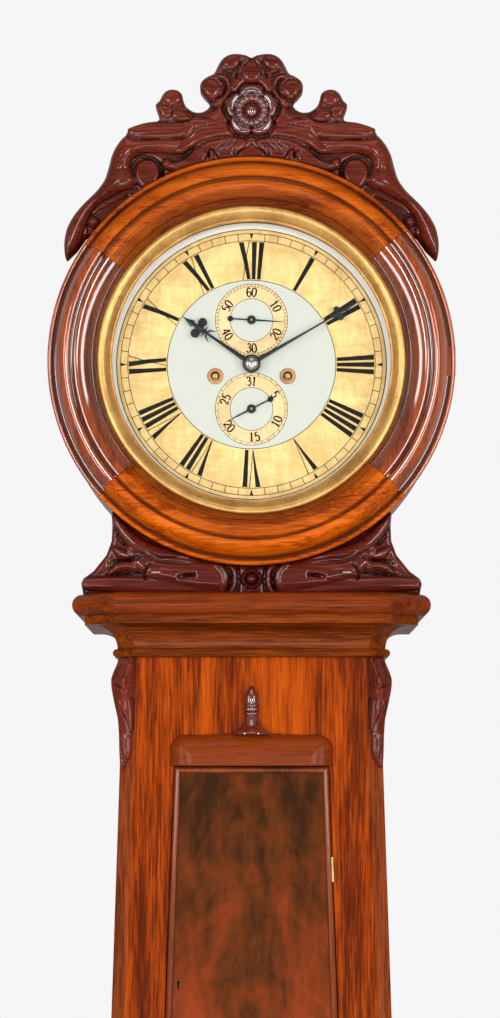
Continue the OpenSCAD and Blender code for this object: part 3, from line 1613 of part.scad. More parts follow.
// A gut line: down from the barrel, round the pulley and up to the seatboard
module line() {
  translate([winding_x, line_y, 0]) {
    translate([pulley_r, 0, pulley_z])
      cylinder(r = line_r, h = drum_z - winding_drop - pulley_z, $fn = 24);
    translate([-pulley_r, 0, pulley_z])
      cylinder(r = line_r, h = seat_z + seatboard_t - pulley_z, $fn = 24);
    translate([0, 0, pulley_z])
      rotate([90, 0, 0])
        rotate([0, 0, 180])
          rotate_extrude(angle = 180)
            translate([pulley_r, 0])
              circle(r = line_r, $fn = 24);
    // The knot above the seatboard
    translate([-pulley_r, 0, seat_z + seatboard_t + 5.5])
      sphere(r = 5.5, $fn = 24);
  }
}

module time_weight() color(iron) weight();
module strike_weight() color(iron) mirror([1, 0, 0]) weight();
module time_line() color("#b59a68") line();
module strike_line() color("#b59a68") mirror([1, 0, 0]) line();

plinth_boards();
plinth_panel();
plinth_mouldings();
backboard();
trunk_sides();
trunk_corners();
trunk_front();
trunk_cornice();
corbels();
door_cap();
trunk_hinges();
seatboard();
front_plate();
back_plate();
pillars();
dial();
winding_collets();
movement_brackets();
bell();
door_panel();
door_bead();
door_knuckles();
door_lock();
lock_bolt();
hood_base();
hood_drum();
drum_frame();
saddle_carving();
crest_carving();
hood_hinge_leaves();
hood_door_ring();
gilt_slip();
hood_glass();
hood_door_knuckle();
centre_wheel();
minute_hand();
hour_wheel();
hour_hand();
minute_wheel();
third_wheel();
escape_wheel();
seconds_hand();
time_barrel();
date_hand();
strike_barrel();
pin_wheel();
gathering_wheel();
warning_wheel();
fly();
pallets();
pendulum_rod();
pendulum_bob();
hammer();
rack();
rack_hook();
lifting_piece();
time_weight();
strike_weight();
time_line();
strike_line();
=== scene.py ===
"""Drumhead longcase clock: the looks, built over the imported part. Metres, row frame (+Z up, front faces -Y).

Pieces are drawn in millimetres and scaled by MM when their mesh is made.
"""

import math

import bpy
import numpy as np
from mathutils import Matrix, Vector


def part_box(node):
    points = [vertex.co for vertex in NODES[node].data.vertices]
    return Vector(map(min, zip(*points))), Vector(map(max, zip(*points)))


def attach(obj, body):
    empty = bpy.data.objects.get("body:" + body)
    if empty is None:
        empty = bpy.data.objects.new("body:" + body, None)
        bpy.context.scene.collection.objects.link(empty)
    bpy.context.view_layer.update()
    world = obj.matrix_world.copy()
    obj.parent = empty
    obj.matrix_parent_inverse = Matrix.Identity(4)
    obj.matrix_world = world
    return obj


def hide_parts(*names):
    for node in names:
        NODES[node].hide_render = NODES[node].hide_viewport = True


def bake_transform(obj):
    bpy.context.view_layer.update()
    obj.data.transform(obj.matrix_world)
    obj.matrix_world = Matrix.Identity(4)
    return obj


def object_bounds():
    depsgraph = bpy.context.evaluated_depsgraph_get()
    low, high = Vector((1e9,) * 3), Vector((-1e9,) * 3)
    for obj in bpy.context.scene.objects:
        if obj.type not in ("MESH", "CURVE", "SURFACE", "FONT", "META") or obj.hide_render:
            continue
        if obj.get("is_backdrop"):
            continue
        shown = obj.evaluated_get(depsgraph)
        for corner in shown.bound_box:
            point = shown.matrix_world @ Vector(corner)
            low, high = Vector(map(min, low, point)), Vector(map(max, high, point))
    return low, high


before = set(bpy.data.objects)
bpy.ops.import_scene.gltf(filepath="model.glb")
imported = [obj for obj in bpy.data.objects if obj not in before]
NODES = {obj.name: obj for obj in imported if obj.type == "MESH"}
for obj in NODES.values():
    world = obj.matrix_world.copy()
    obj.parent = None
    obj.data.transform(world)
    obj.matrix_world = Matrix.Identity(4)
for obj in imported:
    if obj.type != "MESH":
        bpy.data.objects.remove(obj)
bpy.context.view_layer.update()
SCENE = bpy.context.scene

MM = 0.001
DRUM_Z = 1709.0  # the drum's middle
ROSETTE_Z = 303.2  # the rosette's middle, over the drum's
SLAB_Z = 1428.0  # the top of the hood's slab
DOOR_PLANE = -78.0  # the back of the round door
DIAL_Y = -55.0  # the dial's face
TRUNK_Y = -72.0  # the trunk's front

# Colour and nodes

BLACK, WHITE = (0, 0, 0), (1, 1, 1)


def lin(r, g, b):
    """An sRGB colour of 0-255 as linear RGBA."""
    out = []
    for c in (r, g, b):
        c /= 255
        out.append(c / 12.92 if c <= 0.04045 else ((c + 0.055) / 1.055) ** 2.4)
    return (*out, 1.0)


def darker(colour, by):
    return (*(by * c for c in colour[:3]), 1.0)


class Graph:
    """The node tree of a material, or of another owner, with short ways to add and join nodes."""

    def __init__(self, name, owner=None):
        self.owner = owner or bpy.data.materials.new(name)
        self.owner.use_nodes = True
        self.tree = self.owner.node_tree
        self.bsdf = self.tree.nodes.get("Principled BSDF")

    def add(self, kind, **values):
        node = self.tree.nodes.new(kind)
        for key, value in values.items():
            if hasattr(node, key):
                setattr(node, key, value)
            else:
                node.inputs[key.replace("_", " ")].default_value = value
        return node

    def link(self, out, into):
        self.tree.links.new(out, into)

    def set(self, **values):
        for key, value in values.items():
            self.bsdf.inputs[key.replace("_", " ")].default_value = value

    def base(self, colour):
        self.link(colour, self.bsdf.inputs["Base Color"])

    def attribute(self, name, out="Fac"):
        return self.add("ShaderNodeAttribute", attribute_name=name).outputs[out]

    def coords(self, scale=(1, 1, 1), offset=(0, 0, 0), attribute=None):
        node = self.add("ShaderNodeMapping", Scale=scale, Location=offset)
        if attribute:
            source = self.attribute(attribute, "Vector")
        else:
            source = self.add("ShaderNodeTexCoord").outputs["Object"]
        self.link(source, node.inputs["Vector"])
        return node.outputs["Vector"]

    def noise(self, vector, scale, detail=4.0, roughness=0.55, distortion=0.0, out="Fac"):
        node = self.add("ShaderNodeTexNoise", Scale=scale, Detail=detail, Roughness=roughness,
                        Distortion=distortion)
        self.link(vector, node.inputs["Vector"])
        return node.outputs[out]

    def ramp(self, fac, stops):
        node = self.add("ShaderNodeValToRGB")
        items = node.color_ramp.elements
        while len(items) < len(stops):
            items.new(0.5)
        for item, (place, colour) in zip(items, stops):
            item.position = place
            item.color = (*colour[:3], 1)
        self.link(fac, node.inputs["Fac"])
        return node.outputs["Color"]

    def mask(self, fac, start, end, first=BLACK, last=WHITE):
        return self.ramp(fac, [(start, first), (end, last)])

    def math(self, op, a, b=None, clamp=False):
        node = self.add("ShaderNodeMath", operation=op, use_clamp=clamp)
        for socket, value in zip(node.inputs, (a, b)):
            if isinstance(value, (int, float)):
                socket.default_value = value
            elif value is not None:
                self.link(value, socket)
        return node.outputs[0]

    def sum(self, *terms):
        total = terms[0]
        for term in terms[1:]:
            total = self.math("ADD", total, term)
        return total

    def times(self, a, b):
        return self.math("MULTIPLY", a, b)

    def swing(self, value, by):
        """A value of about 0.5, as a swing of that size about nothing."""
        return self.times(self.math("SUBTRACT", value, 0.5), by)

    def mix(self, fac, a, b):
        node = self.add("ShaderNodeMix", data_type="RGBA")
        for socket, value in zip((node.inputs[0], node.inputs[6], node.inputs[7]), (fac, a, b)):
            if isinstance(value, (int, float, tuple)):
                socket.default_value = value
            else:
                self.link(value, socket)
        return node.outputs[2]

    def split(self, kind, source):
        node = self.add(kind)
        self.link(source, node.inputs[0])
        return node.outputs

    def joined(self, x, z):
        node = self.add("ShaderNodeCombineXYZ")
        self.link(x, node.inputs[0])
        self.link(z, node.inputs[2])
        return node.outputs[0]

    def bump(self, height, strength, distance):
        node = self.add("ShaderNodeBump", Strength=strength, Distance=distance)
        self.link(height, node.inputs["Height"])
        self.link(node.outputs["Normal"], self.bsdf.inputs["Normal"])


def wood(name, dark, mid, light, grain="z", rough=0.38, coat=0.3, shade_and_joints=False, seed=0.0, attribute=None,
         stripe=1.0, figure=0.3, ior=1.5, gloss=0.1):
    """French-polished mahogany: streaks, ribbon stripes and pores along the grain, with painted shade
    darkening its hollows.
    """
    g = Graph(name)
    dark = lin(*dark)
    deep = darker(dark, 0.5)

    def grained(stretch, scale, detail, distortion=0.0):
        size = [stretch if axis == grain else 1.0 for axis in "xyz"]
        place = g.coords(size, (seed, seed * 0.7, seed * 0.3), attribute)
        return g.noise(place, scale, detail, 0.6, distortion)

    streak = grained(0.045, 95, 5.0, 0.5)
    pores = grained(0.07, 1500, 1.0)
    tone = g.sum(g.swing(grained(0.045, 16, 2.0, 0.4), 0.6 * stripe), g.swing(streak, 0.5 * stripe),
                 g.swing(grained(0.05, 480, 2.0), 0.5), 0.54)
    colour = g.ramp(tone, [(0.3, deep), (0.42, dark), (0.53, lin(*mid)), (0.68, lin(*light))])
    cloud = g.mask(grained(0.3, 12, 3.0, 0.6), 0.5, 0.72)
    colour = g.mix(g.times(cloud, figure), colour, deep)
    colour = g.mix(g.times(g.mask(pores, 0.28, 0.36, WHITE, BLACK), 0.4), colour, darker(dark, 0.35))
    # Painted shade: hollows and grooves are darkened by a mesh attribute, which also darkens the ring's glue
    # lines
    if shade_and_joints:
        colour = g.mix(g.attribute("shade_and_joints"), colour, lin(18, 8, 7))
    g.base(colour)
    g.set(Roughness=rough, Coat_Weight=coat, Coat_Roughness=gloss, Coat_IOR=ior, Specular_IOR_Level=0.03)
    g.bump(g.sum(g.times(streak, 0.5), g.times(pores, 0.5)), 0.08, 0.0003)
    return g.owner


def flame(name, base_z, top_z):
    """Crotch mahogany: a dark spine with ruddy plumes on both sides, their rays arching over from it."""
    g = Graph(name)
    p = g.coords(offset=(0, 0, -base_z))
    x, _, z = g.split("ShaderNodeSeparateXYZ", p)
    nudge = g.split("ShaderNodeSeparateColor", g.noise(p, 8, 3.0, 0.5, out="Color"))
    x = g.sum(x, g.swing(nudge[0], 0.06))
    side = g.math("ABSOLUTE", x)
    # A ray keeps its number as it falls away outward from the spine
    ray = g.sum(z, g.times(g.math("POWER", g.times(side, 9.0), 1.6), 0.11), g.swing(nudge[1], 0.05))
    warped = g.joined(g.times(side, 1.2), ray)
    broad = g.noise(warped, 9, 2.0, 0.5, 0.3)
    rays = g.noise(warped, 34, 3.0, 0.6, 0.3)
    # Fibres rise from the foot of the spine and fan outward like a plume
    fan = g.joined(g.math("DIVIDE", x, g.sum(g.times(z, 0.55), 0.07)), g.times(z, 0.7))
    fibres = g.noise(fan, 17, 4.0, 0.55, 0.2)
    tone = g.sum(g.swing(broad, 0.9), g.swing(rays, 0.5), g.swing(fibres, 0.5), 0.53)
    spine = g.math("SUBTRACT", 1.0, g.times(side, 16.0), clamp=True)
    tall = top_z - base_z
    head = g.math("MULTIPLY", g.math("SUBTRACT", z, 0.45 * tall), 2.2 / tall, clamp=True)
    tone = g.sum(tone, g.times(spine, -0.12), g.times(head, -0.06), g.swing(g.noise(p, 900, 2.0), 0.12))
    g.base(g.ramp(tone, [(0.26, lin(52, 26, 6)), (0.42, lin(84, 40, 10)), (0.55, lin(110, 46, 14)),
                         (0.72, lin(136, 54, 20))]))
    g.set(Roughness=0.36, Coat_Weight=0.15, Coat_Roughness=0.08, Specular_IOR_Level=0.03)
    g.bump(fibres, 0.05, 0.0003)
    return g.owner


def metal(name, colour, worn, rough, metallic=1.0, bump=0.0):
    g = Graph(name)
    p = g.coords()
    scratches = g.noise(p, 540, 2.0, 0.5)
    g.base(g.mix(g.mask(g.noise(p, 18, 4.0, 0.6), 0.42, 0.66), lin(*colour), lin(*worn)))
    g.set(Metallic=metallic)
    g.link(g.sum(g.times(scratches, 0.16), rough - 0.08), g.bsdf.inputs["Roughness"])
    if bump:
        g.bump(scratches, bump, 0.0002)
    return g.owner


def paint(name, colour, other, rough=0.4, scale=60.0, spec=0.4):
    g = Graph(name)
    g.base(g.mix(g.noise(g.coords(), scale, 5.0, 0.6), lin(*colour), lin(*other)))
    g.set(Roughness=rough, Specular_IOR_Level=spec)
    return g.owner


def dial_paint():
    """White japanned ground, a little greyer inside the chapter ring, faintly crazed; its brighter margin is
    partly painted light.
    """
    g = Graph("painted_dial")
    p = g.coords(offset=(0, 0, -DRUM_Z * MM))
    colour = g.mix(g.noise(p, 40, 5.0, 0.6), lin(206, 209, 197), lin(198, 202, 190))
    flatten = g.add("ShaderNodeVectorMath", operation="MULTIPLY")
    flatten.inputs[1].default_value = (1, 0, 1)
    g.link(p, flatten.inputs[0])
    length = g.add("ShaderNodeVectorMath", operation="LENGTH")
    g.link(flatten.outputs[0], length.inputs[0])
    # The margin outside the chapter ring is brighter: partly its own whiter paint, partly painted light
    # against the deep ring's shade
    colour = g.mix(g.mask(length.outputs["Value"], 0.158, 0.163), colour, lin(252, 250, 238))
    crackle = g.add("ShaderNodeTexVoronoi", Scale=420.0, feature="DISTANCE_TO_EDGE")
    g.link(p, crackle.inputs["Vector"])
    lines = g.mask(crackle.outputs["Distance"], 0.0, 0.05, WHITE, BLACK)
    g.base(g.mix(g.times(lines, 0.12), colour, lin(170, 165, 140)))
    g.set(Roughness=0.35, Coat_Weight=0.15, Coat_Roughness=0.15, Specular_IOR_Level=0.3)
    return g.owner


def gold_leaf(name, bright, dull, rough, metallic, bole=None):
    """Gold leaf: soft clouds of tone and fine rubbing marks, with the bole showing where it is worn."""
    g = Graph(name)
    p = g.coords()
    rubbing = g.sum(g.noise(g.coords((1, 1, 0.16), (0.3, 0, 0)), 160, 3.0, 0.6, 0.8),
                    g.noise(g.coords((0.16, 1, 1), (0.7, 0, 0)), 160, 3.0, 0.6, 0.8))
    tone = g.sum(g.times(g.noise(p, 22, 5.0, 0.65, 0.6), 0.6), g.times(rubbing, 0.2))
    colour = g.mix(g.mask(tone, 0.42, 0.58), lin(*dull), lin(*bright))
    if bole:
        worn = g.sum(g.times(g.attribute("wear"), 0.35), g.times(g.noise(p, 260, 4.0, 0.7), 0.6))
        colour = g.mix(g.times(g.mask(worn, 0.5, 0.62), 0.85), colour, lin(*bole))
    g.base(colour)
    g.set(Metallic=metallic)
    g.link(g.sum(g.times(tone, 0.2), rough - 0.1), g.bsdf.inputs["Roughness"])
    g.bump(tone, 0.05, 0.0004)
    return g.owner


def clear_glass():
    g = Graph("glass")
    g.set(Base_Color=(0.2, 0.23, 0.22, 1), Roughness=0.03, Alpha=0.025)
    g.bump(g.noise(g.coords(), 9, 2.0, 0.5), 0.02, 0.001)
    return g.owner


CARVED = dict(shade_and_joints=True, stripe=0.35)
RING = dict(grain="x", attribute="grain", shade_and_joints=True, figure=0.15, coat=0.2, gloss=0.16)
RING_SIDE = dict(grain="x", attribute="grain", shade_and_joints=True, figure=0.2, coat=1.0, gloss=0.09, ior=1.85)
M = {
    "board": wood("mahogany_boards", (102, 34, 0), (150, 57, 1), (182, 78, 4), seed=1.3, stripe=1.1, coat=0.1,
                  figure=0.15),
    "post": wood("mahogany_posts", (108, 44, 16), (146, 66, 26), (166, 80, 38), seed=4.1, coat=0.2),
    "rail": wood("mahogany_rails", (92, 36, 4), (126, 54, 10), (148, 68, 16), grain="x", seed=2.2, coat=0.12),
    "slab": wood("mahogany_slab", (90, 32, 5), (120, 47, 10), (140, 58, 15), grain="x", seed=6.2, coat=0.15),
    "bead": wood("mahogany_bead", (90, 36, 12), (114, 50, 18), (136, 62, 24), seed=7.7),
    "cap": wood("mahogany_cap", (82, 28, 3), (108, 40, 6), (126, 52, 10), grain="x", seed=9.1, coat=0.2,
                figure=0.1, gloss=0.26, stripe=1.4),
    "drum": wood("mahogany_drum", (92, 32, 8), (126, 48, 12), (150, 62, 18), grain="y", seed=3.7),
    # One mahogany for the ring's segments, in copies: the foot's is lighter, as painted light for its downward
    # faces, and the sides' is darker, as painted shade
    "ring_light": wood("mahogany_ring_top", (132, 48, 0), (172, 74, 4), (196, 94, 10), seed=3.0, **RING),
    "ring_foot_painted_light": wood("mahogany_ring_foot_painted_light", (156, 60, 0), (198, 90, 5), (220, 110, 12), seed=3.4, **RING),
    "ring_side_painted_shade": wood("mahogany_ring_side_painted_shade", (112, 40, 4), (152, 62, 6), (176, 80, 12), seed=5.0, **RING_SIDE),
    "carved": wood("carved_mahogany", (56, 14, 6), (90, 28, 14), (124, 46, 24), grain="x", seed=8.3,
                   rough=0.42, coat=0.55, figure=0.25, **CARVED),
    "saddle": wood("carved_mahogany_saddle", (56, 14, 6), (88, 26, 14), (118, 42, 24), grain="x", seed=8.8,
                   rough=0.42, coat=0.5, figure=0.25, ior=1.6, **CARVED),
    "gloss": wood("carved_mahogany_polished", (56, 16, 8), (94, 30, 20), (124, 48, 30), seed=5.9, rough=0.4,
                  coat=1.0, figure=0.2, ior=2.1, gloss=0.06, **CARVED),
    "corbel": wood("carved_mahogany_posts", (66, 18, 8), (100, 32, 16), (130, 48, 26), shade_and_joints=True, seed=1.9,
                   rough=0.36, coat=0.4, figure=0.2, stripe=0.6),
    "inside": wood("mahogany_inside", (84, 40, 18), (112, 58, 28), (134, 74, 38), rough=0.6, coat=0.0,
                   seed=2.9),
    "flame": flame("flame_mahogany", 0.70, 1.22),
    "flame_low": flame("flame_mahogany_plinth", 0.10, 0.48),
    "brass": metal("brass", (182, 146, 96), (140, 104, 62), 0.38),
    "bell": metal("bell_metal", (176, 140, 96), (130, 98, 66), 0.3),
    "steel": metal("blued_steel", (26, 28, 38), (14, 14, 20), 0.3, metallic=0.6),
    "silver": metal("polished_steel", (196, 190, 184), (140, 130, 124), 0.22),
    "collet": metal("copper_collets", (196, 150, 104), (150, 104, 66), 0.3),
    "iron": metal("iron", (62, 58, 56), (40, 37, 35), 0.5, bump=0.15),
    "gut": paint("gut", (186, 156, 104), (150, 118, 72), 0.45, 900.0),
    "dial": dial_paint(),
    "chapter": gold_leaf("chapter_gold", (246, 212, 136), (214, 176, 102), 0.5, 0.12),
    "subdial": gold_leaf("subdial_gold", (238, 208, 150), (214, 182, 124), 0.5, 0.1),
    "slip": gold_leaf("gilding", (212, 166, 96), (180, 132, 70), 0.3, 0.6, bole=(124, 80, 38)),
    "ink": paint("dial_ink", (12, 10, 10), (24, 20, 16), 0.6, 200.0, spec=0.05),
    "glass": clear_glass(),
}

# Mesh helpers


def make(name, verts, faces, mats, body, slot=None, replaces=(), attrs=None, sharp=38.0, face_mats=None):
    """A piece from a mesh in millimetres, which rides on a body and stands for the CAD nodes it replaces."""
    me = bpy.data.meshes.new(name)
    me.from_pydata((np.asarray(verts, float) * MM).tolist(), [], [list(map(int, f)) for f in faces])
    me.validate()
    for key, values in (attrs or {}).items():
        values = np.asarray(values, np.float32)
        kind, field = ("FLOAT_VECTOR", "vector") if values.ndim == 2 else ("FLOAT", "value")
        me.attributes.new(key, kind, "POINT").data.foreach_set(field, values.ravel())
    for m in mats if isinstance(mats, list) else [mats]:
        me.materials.append(m)
    me.polygons.foreach_set("use_smooth", [True] * len(me.polygons))
    if face_mats is not None:
        me.polygons.foreach_set("material_index", face_mats)
    me.set_sharp_from_angle(angle=math.radians(sharp))
    me.update()
    o = bpy.data.objects.new(name, me)
    SCENE.collection.objects.link(o)
    if body:
        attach(o, body)
    for n in replaces:
        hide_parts(n)
    return o


class Build:
    """Gathers several solids into one mesh."""

    def __init__(self):
        self.v, self.f, self.m = [], [], []

    def add(self, verts, faces, mat=0):
        base = sum(len(v) for v in self.v)
        self.v.append(np.asarray(verts, float))
        self.f += [[i + base for i in face] for face in faces]
        self.m += [mat] * len(faces)

    def done(self, name, mats, body, **kw):
        return make(name, np.concatenate(self.v), self.f, mats, body, face_mats=self.m, **kw)


def smooth(points, steps=6, closed=False):
    """A Catmull-Rom curve through the points."""
    p = np.asarray(points, float)
    n = len(p)
    out = []
    for i in range(n if closed else n - 1):
        if closed:
            a, b, c, d = (p[(i + k) % n] for k in (-1, 0, 1, 2))
        else:
            a, b, c, d = p[max(i - 1, 0)], p[i], p[i + 1], p[min(i + 2, n - 1)]
        for k in range(steps):
            t = k / steps
            out.append(0.5 * (2 * b + (c - a) * t + (2 * a - 5 * b + 4 * c - d) * t * t
                              + (3 * b - a - 3 * c + d) * t ** 3))
    return np.array(out if closed else [*out, p[-1]])


def directions(line):
    """The unit direction of a curve at each of its points."""
    d = np.gradient(line, axis=0)
    return d / np.maximum(np.linalg.norm(d, axis=1, keepdims=True), 1e-9)


def across(d):
    """Each direction turned a quarter to the left."""
    return np.stack([-d[:, 1], d[:, 0]], -1)


def arc(cx, cy, rx, ry, a0, a1, n):
    return [(cx + rx * math.cos(a), cy + ry * math.sin(a)) for a in np.radians(np.linspace(a0, a1, n + 1))]


def skin(rows, n):
    """The faces round a stack of rings of n points, closed at both ends."""
    faces = [(j * n + i, j * n + (i + 1) % n, (j + 1) * n + (i + 1) % n, (j + 1) * n + i)
             for j in range(rows - 1) for i in range(n)]
    return faces + [tuple(range(n - 1, -1, -1)), tuple((rows - 1) * n + i for i in range(n))]


def lathe(profile, angles, cx=0.0, cz=DRUM_Z):
    """A closed profile of (radius, y) turned about the Y axis through (cx, cz).

    angles is a list in degrees from +x, or for a whole turn the number of steps.
    """
    prof = np.asarray(profile, float)
    full = isinstance(angles, int)
    t = np.radians(np.linspace(0, 360, angles + 1)[:-1] if full else angles)
    x = cx + np.outer(np.cos(t), prof[:, 0])
    z = cz + np.outer(np.sin(t), prof[:, 0])
    verts = np.stack([x, np.tile(prof[:, 1], (len(t), 1)), z], -1).reshape(-1, 3)
    n, k = len(t), len(prof)
    faces = [(i * k + a, (i + 1) % n * k + a, (i + 1) % n * k + (a + 1) % k, i * k + (a + 1) % k)
             for i in range(n if full else n - 1) for a in range(k)]
    if not full:
        faces += [tuple(range(k - 1, -1, -1)), tuple((n - 1) * k + a for a in range(k))]
    return verts, faces


def turned_z(profile, cx, cy, n=48):
    """A profile of (radius, z) turned about a vertical axis, from its foot to its head."""
    turn = 2 * math.pi * np.arange(n) / n
    verts = [(cx + r * math.cos(a), cy + r * math.sin(a), z) for r, z in profile for a in turn]
    return verts, skin(len(profile), n)


def plate(outline, y_front, y_back, round_r=0.0):
    """A flat piece in the XZ plane from y_front to y_back, its front edge eased by round_r."""
    p = np.asarray(outline, float)
    if np.sum(p[:, 0] * np.roll(p[:, 1], -1) - np.roll(p[:, 0], -1) * p[:, 1]) < 0:
        p = p[::-1]
    d = np.roll(p, -1, 0) - np.roll(p, 1, 0)
    inward = across(d / np.maximum(np.linalg.norm(d, axis=1, keepdims=True), 1e-9))
    layers = [(0.0, y_back), (0.0, y_front + round_r)]
    if round_r:
        layers += [(0.3 * round_r, y_front + 0.3 * round_r), (round_r, y_front)]
    verts = [(a, y, b) for inset, y in layers for a, b in p + inward * inset]
    return verts, skin(len(layers), len(p))


LEAF_T = 0.05  # the thickness of printed work


def flat(outline, y):
    """Printed work on the dial: a thin leaf just in front of the plane y."""
    return plate(outline, y - LEAF_T, y)


def ring_strip(r0, r1, cz, y, n):
    """A printed ring, just in front of the plane y."""
    return lathe([(r0, y), (r1, y), (r1, y - LEAF_T), (r0, y - LEAF_T)], n, cz=DRUM_Z + cz)


# The CAD pieces' finishes

LOOK = {
    "board": "trunk_front trunk_sides plinth_boards door_cap",
    "post": "trunk_corners",
    "rail": "trunk_cornice plinth_mouldings",
    "slab": "hood_base",
    "bead": "door_bead",
    "drum": "hood_drum hood_door_ring",
    "flame": "door_panel",
    "flame_low": "plinth_panel",
    "carved": "crest_carving",
    "saddle": "saddle_carving",
    "corbel": "corbels",
    "inside": "backboard seatboard drum_frame",
    "brass": "trunk_hinges door_knuckles hood_hinge_leaves hood_door_knuckle front_plate back_plate pillars"
             " movement_brackets centre_wheel hour_wheel minute_wheel third_wheel escape_wheel time_barrel"
             " strike_barrel pin_wheel gathering_wheel warning_wheel fly pendulum_bob",
    "bell": "bell",
    "collet": "winding_collets",
    "steel": "minute_hand hour_hand seconds_hand date_hand pallets hammer rack rack_hook lifting_piece"
             " pendulum_rod",
    "iron": "door_lock lock_bolt time_weight strike_weight",
    "gut": "time_line strike_line",
    "dial": "dial",
    "slip": "gilt_slip",
    "glass": "hood_glass",
}
for key, names in LOOK.items():
    for n in names.split():
        NODES[n].data.materials.clear()
        NODES[n].data.materials.append(M[key])


def ease(node, width):
    """Rounds a wooden piece's arrises a little, as hand-worn polish does."""
    o = NODES[node]
    o.modifiers.new("weld", "WELD").merge_threshold = 0.00002
    bevel = o.modifiers.new("ease", "BEVEL")
    bevel.width = width * MM
    bevel.segments = 2
    bevel.limit_method = "ANGLE"
    bevel.angle_limit = math.radians(40)
    bevel.harden_normals = False
    bevel.use_clamp_overlap = True
    o.modifiers.new("normals", "WEIGHTED_NORMAL").keep_sharp = True
    o.data.polygons.foreach_set("use_smooth", [True] * len(o.data.polygons))
    o.data.set_sharp_from_angle(angle=math.radians(40))


for n, w in (("trunk_front", 0.5), ("trunk_sides", 0.5), ("trunk_corners", 0.8), ("plinth_boards", 1.0),
             ("plinth_panel", 0.8), ("hood_base", 0.5), ("door_panel", 0.3), ("seatboard", 0.8)):
    ease(n, w)

# The round door: ring and slip

RING_R = 246.0


def ring_profile():
    """The moulded ring as (radius, height over the door plane), from its back edge round to the inside."""
    pts = [(185.8, 0), (RING_R, 0), (RING_R, 6.5)]
    pts += arc(243.2, 7.2, 2.8, 2.8, 0, 175, 10)
    pts += [(240.1, 6.3), (237.4, 6.3)]
    pts += arc(221.2, 9.0, 15.5, 29.0, 0, 90, 20)
    pts += arc(221.2, 34.6, 3.3, 3.4, 95, 180, 6)
    pts += [(217.8, 31.2), (217.2, 30.4), (214.6, 30.2)]
    pts += smooth([(214.2, 31.2), (212.4, 32.8), (209.0, 32.8), (205.0, 31.4), (200.0, 28.8), (196.0, 26.0),
                   (193.6, 23.0)], 4).tolist()
    pts += [(193.2, 21.4), (192.6, 21.0), (192.2, 21.4)]
    return pts + smooth([(191.6, 21.4), (188.6, 18.6), (186.4, 16.4), (185.8, 14.6)], 3).tolist()


# Painted shade: the quirks between the mouldings are darkened, and the whole inner band a little
GROOVE_SHADE = {240.1: 0.75, 237.4: 0.85, 236.7: 0.35, 217.8: 0.8, 217.2: 0.8, 214.6: 0.7, 193.2: 0.6, 192.6: 0.8,
           192.2: 0.5}


def ring_shade(r):
    return GROOVE_SHADE.get(round(r, 1), 0.62 if r < 194 else 0.45 if r < 203 else 0.16 if r < 217 else 0.0)


# The foot segment takes the ring's painted-light copy, and the side segments take its painted-shade copy
SEGMENTS = (("top", "ring_light", 39.7, 145.0), ("left", "ring_side_painted_shade", 145.0, 221.4),
            ("bottom", "ring_foot_painted_light", 221.4, 318.6), ("right", "ring_side_painted_shade", 318.6, 399.7))
leaf_lo, leaf_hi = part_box("hood_hinge_leaves")
notch_half = math.degrees(math.asin(((leaf_hi.z - leaf_lo.z) / 2 / MM + 0.4) / RING_R))
notch_x, notch_y = leaf_lo.x / MM - 0.4, leaf_lo.y / MM - 0.5
profile = ring_profile()
shade = np.array([ring_shade(r) for r, _ in profile])
for k, (name, mat, a0, a1) in enumerate(SEGMENTS):
    angles = [a0 + 0.02, a0 + 0.1, *np.linspace(a0, a1, 52)[1:-1], a1 - 0.1, a1 - 0.02]
    if name == "right":
        angles = sorted(angles + [360 + s * (notch_half + e) for s in (-1, 1) for e in (0, 0.01)])
    verts, faces = lathe([(r, DOOR_PLANE - h) for r, h in profile], angles)
    verts = verts.reshape(len(angles), len(profile), 3)
    # The ends of a segment are drawn in by a hair, so that its glue line shows
    shade_and_joints = np.tile(shade, (len(angles), 1))
    for row in (0, -1):
        verts[row, 2:, 1] += 0.5
        shade_and_joints[row] = 0.9
    if name == "right":
        for i, a in enumerate(angles):
            if abs(a - 360) <= notch_half + 1e-6:
                cut = (verts[i, :, 0] > notch_x) & (verts[i, :, 1] > notch_y)
                verts[i, cut, 1] = notch_y
    verts = verts.reshape(-1, 3)
    rel = verts[:, [0, 2]] - np.array([0, DRUM_Z])
    mid = math.radians((a0 + a1) / 2)
    s, c = math.sin(mid), math.cos(mid)
    grain = np.stack([rel @ np.array([-s, c]), rel @ np.array([c, s]), verts[:, 1] + 300 * k], -1) * MM
    make(f"ring_{name}", verts, faces, M[mat], "hood_door", slot="mahogany", replaces=["hood_door_ring"],
         attrs={"grain": grain, "shade_and_joints": shade_and_joints.ravel()}, sharp=50)

# The gilt slip, as (radius, height over the door plane): a broad swell, then a thin lip at the glass
slip = [(168.0, 3.6), (185.6, 3.6), (185.6, 15.4)]
slip += smooth([(185.2, 15.8), (184.0, 17.0), (182.0, 17.7), (179.5, 17.3), (177.0, 16.0), (174.5, 14.0),
                (172.4, 11.9), (171.2, 10.6)], 3).tolist()
slip += [(170.8, 10.0), (170.3, 9.4), (169.8, 10.0), (168.8, 9.8), (168.0, 8.4)]
steps = 240
verts, faces = lathe([(r, DOOR_PLANE - h) for r, h in slip], steps)
verts = verts.reshape(steps, len(slip), 3)
rng = np.random.default_rng(7)
ripple = np.convolve(np.tile(rng.normal(0, 1, steps), 3), np.ones(5) / 5, "same")[steps:2 * steps]
verts[:, 2:-1, 1] += ripple[:, None] * 0.16
wear = np.zeros((steps, len(slip)))
wear[:, 2:5] = 1.0
wear *= 0.35 + 0.65 * np.clip(-np.sin(np.radians(np.linspace(0, 360, steps, endpoint=False))), 0, 1)[:, None]
make("gilt_slip_leaf", verts.reshape(-1, 3), faces, M["slip"], "hood_door", slot="gilding",
     replaces=["gilt_slip"], attrs={"wear": wear.ravel()}, sharp=60)

# Carving


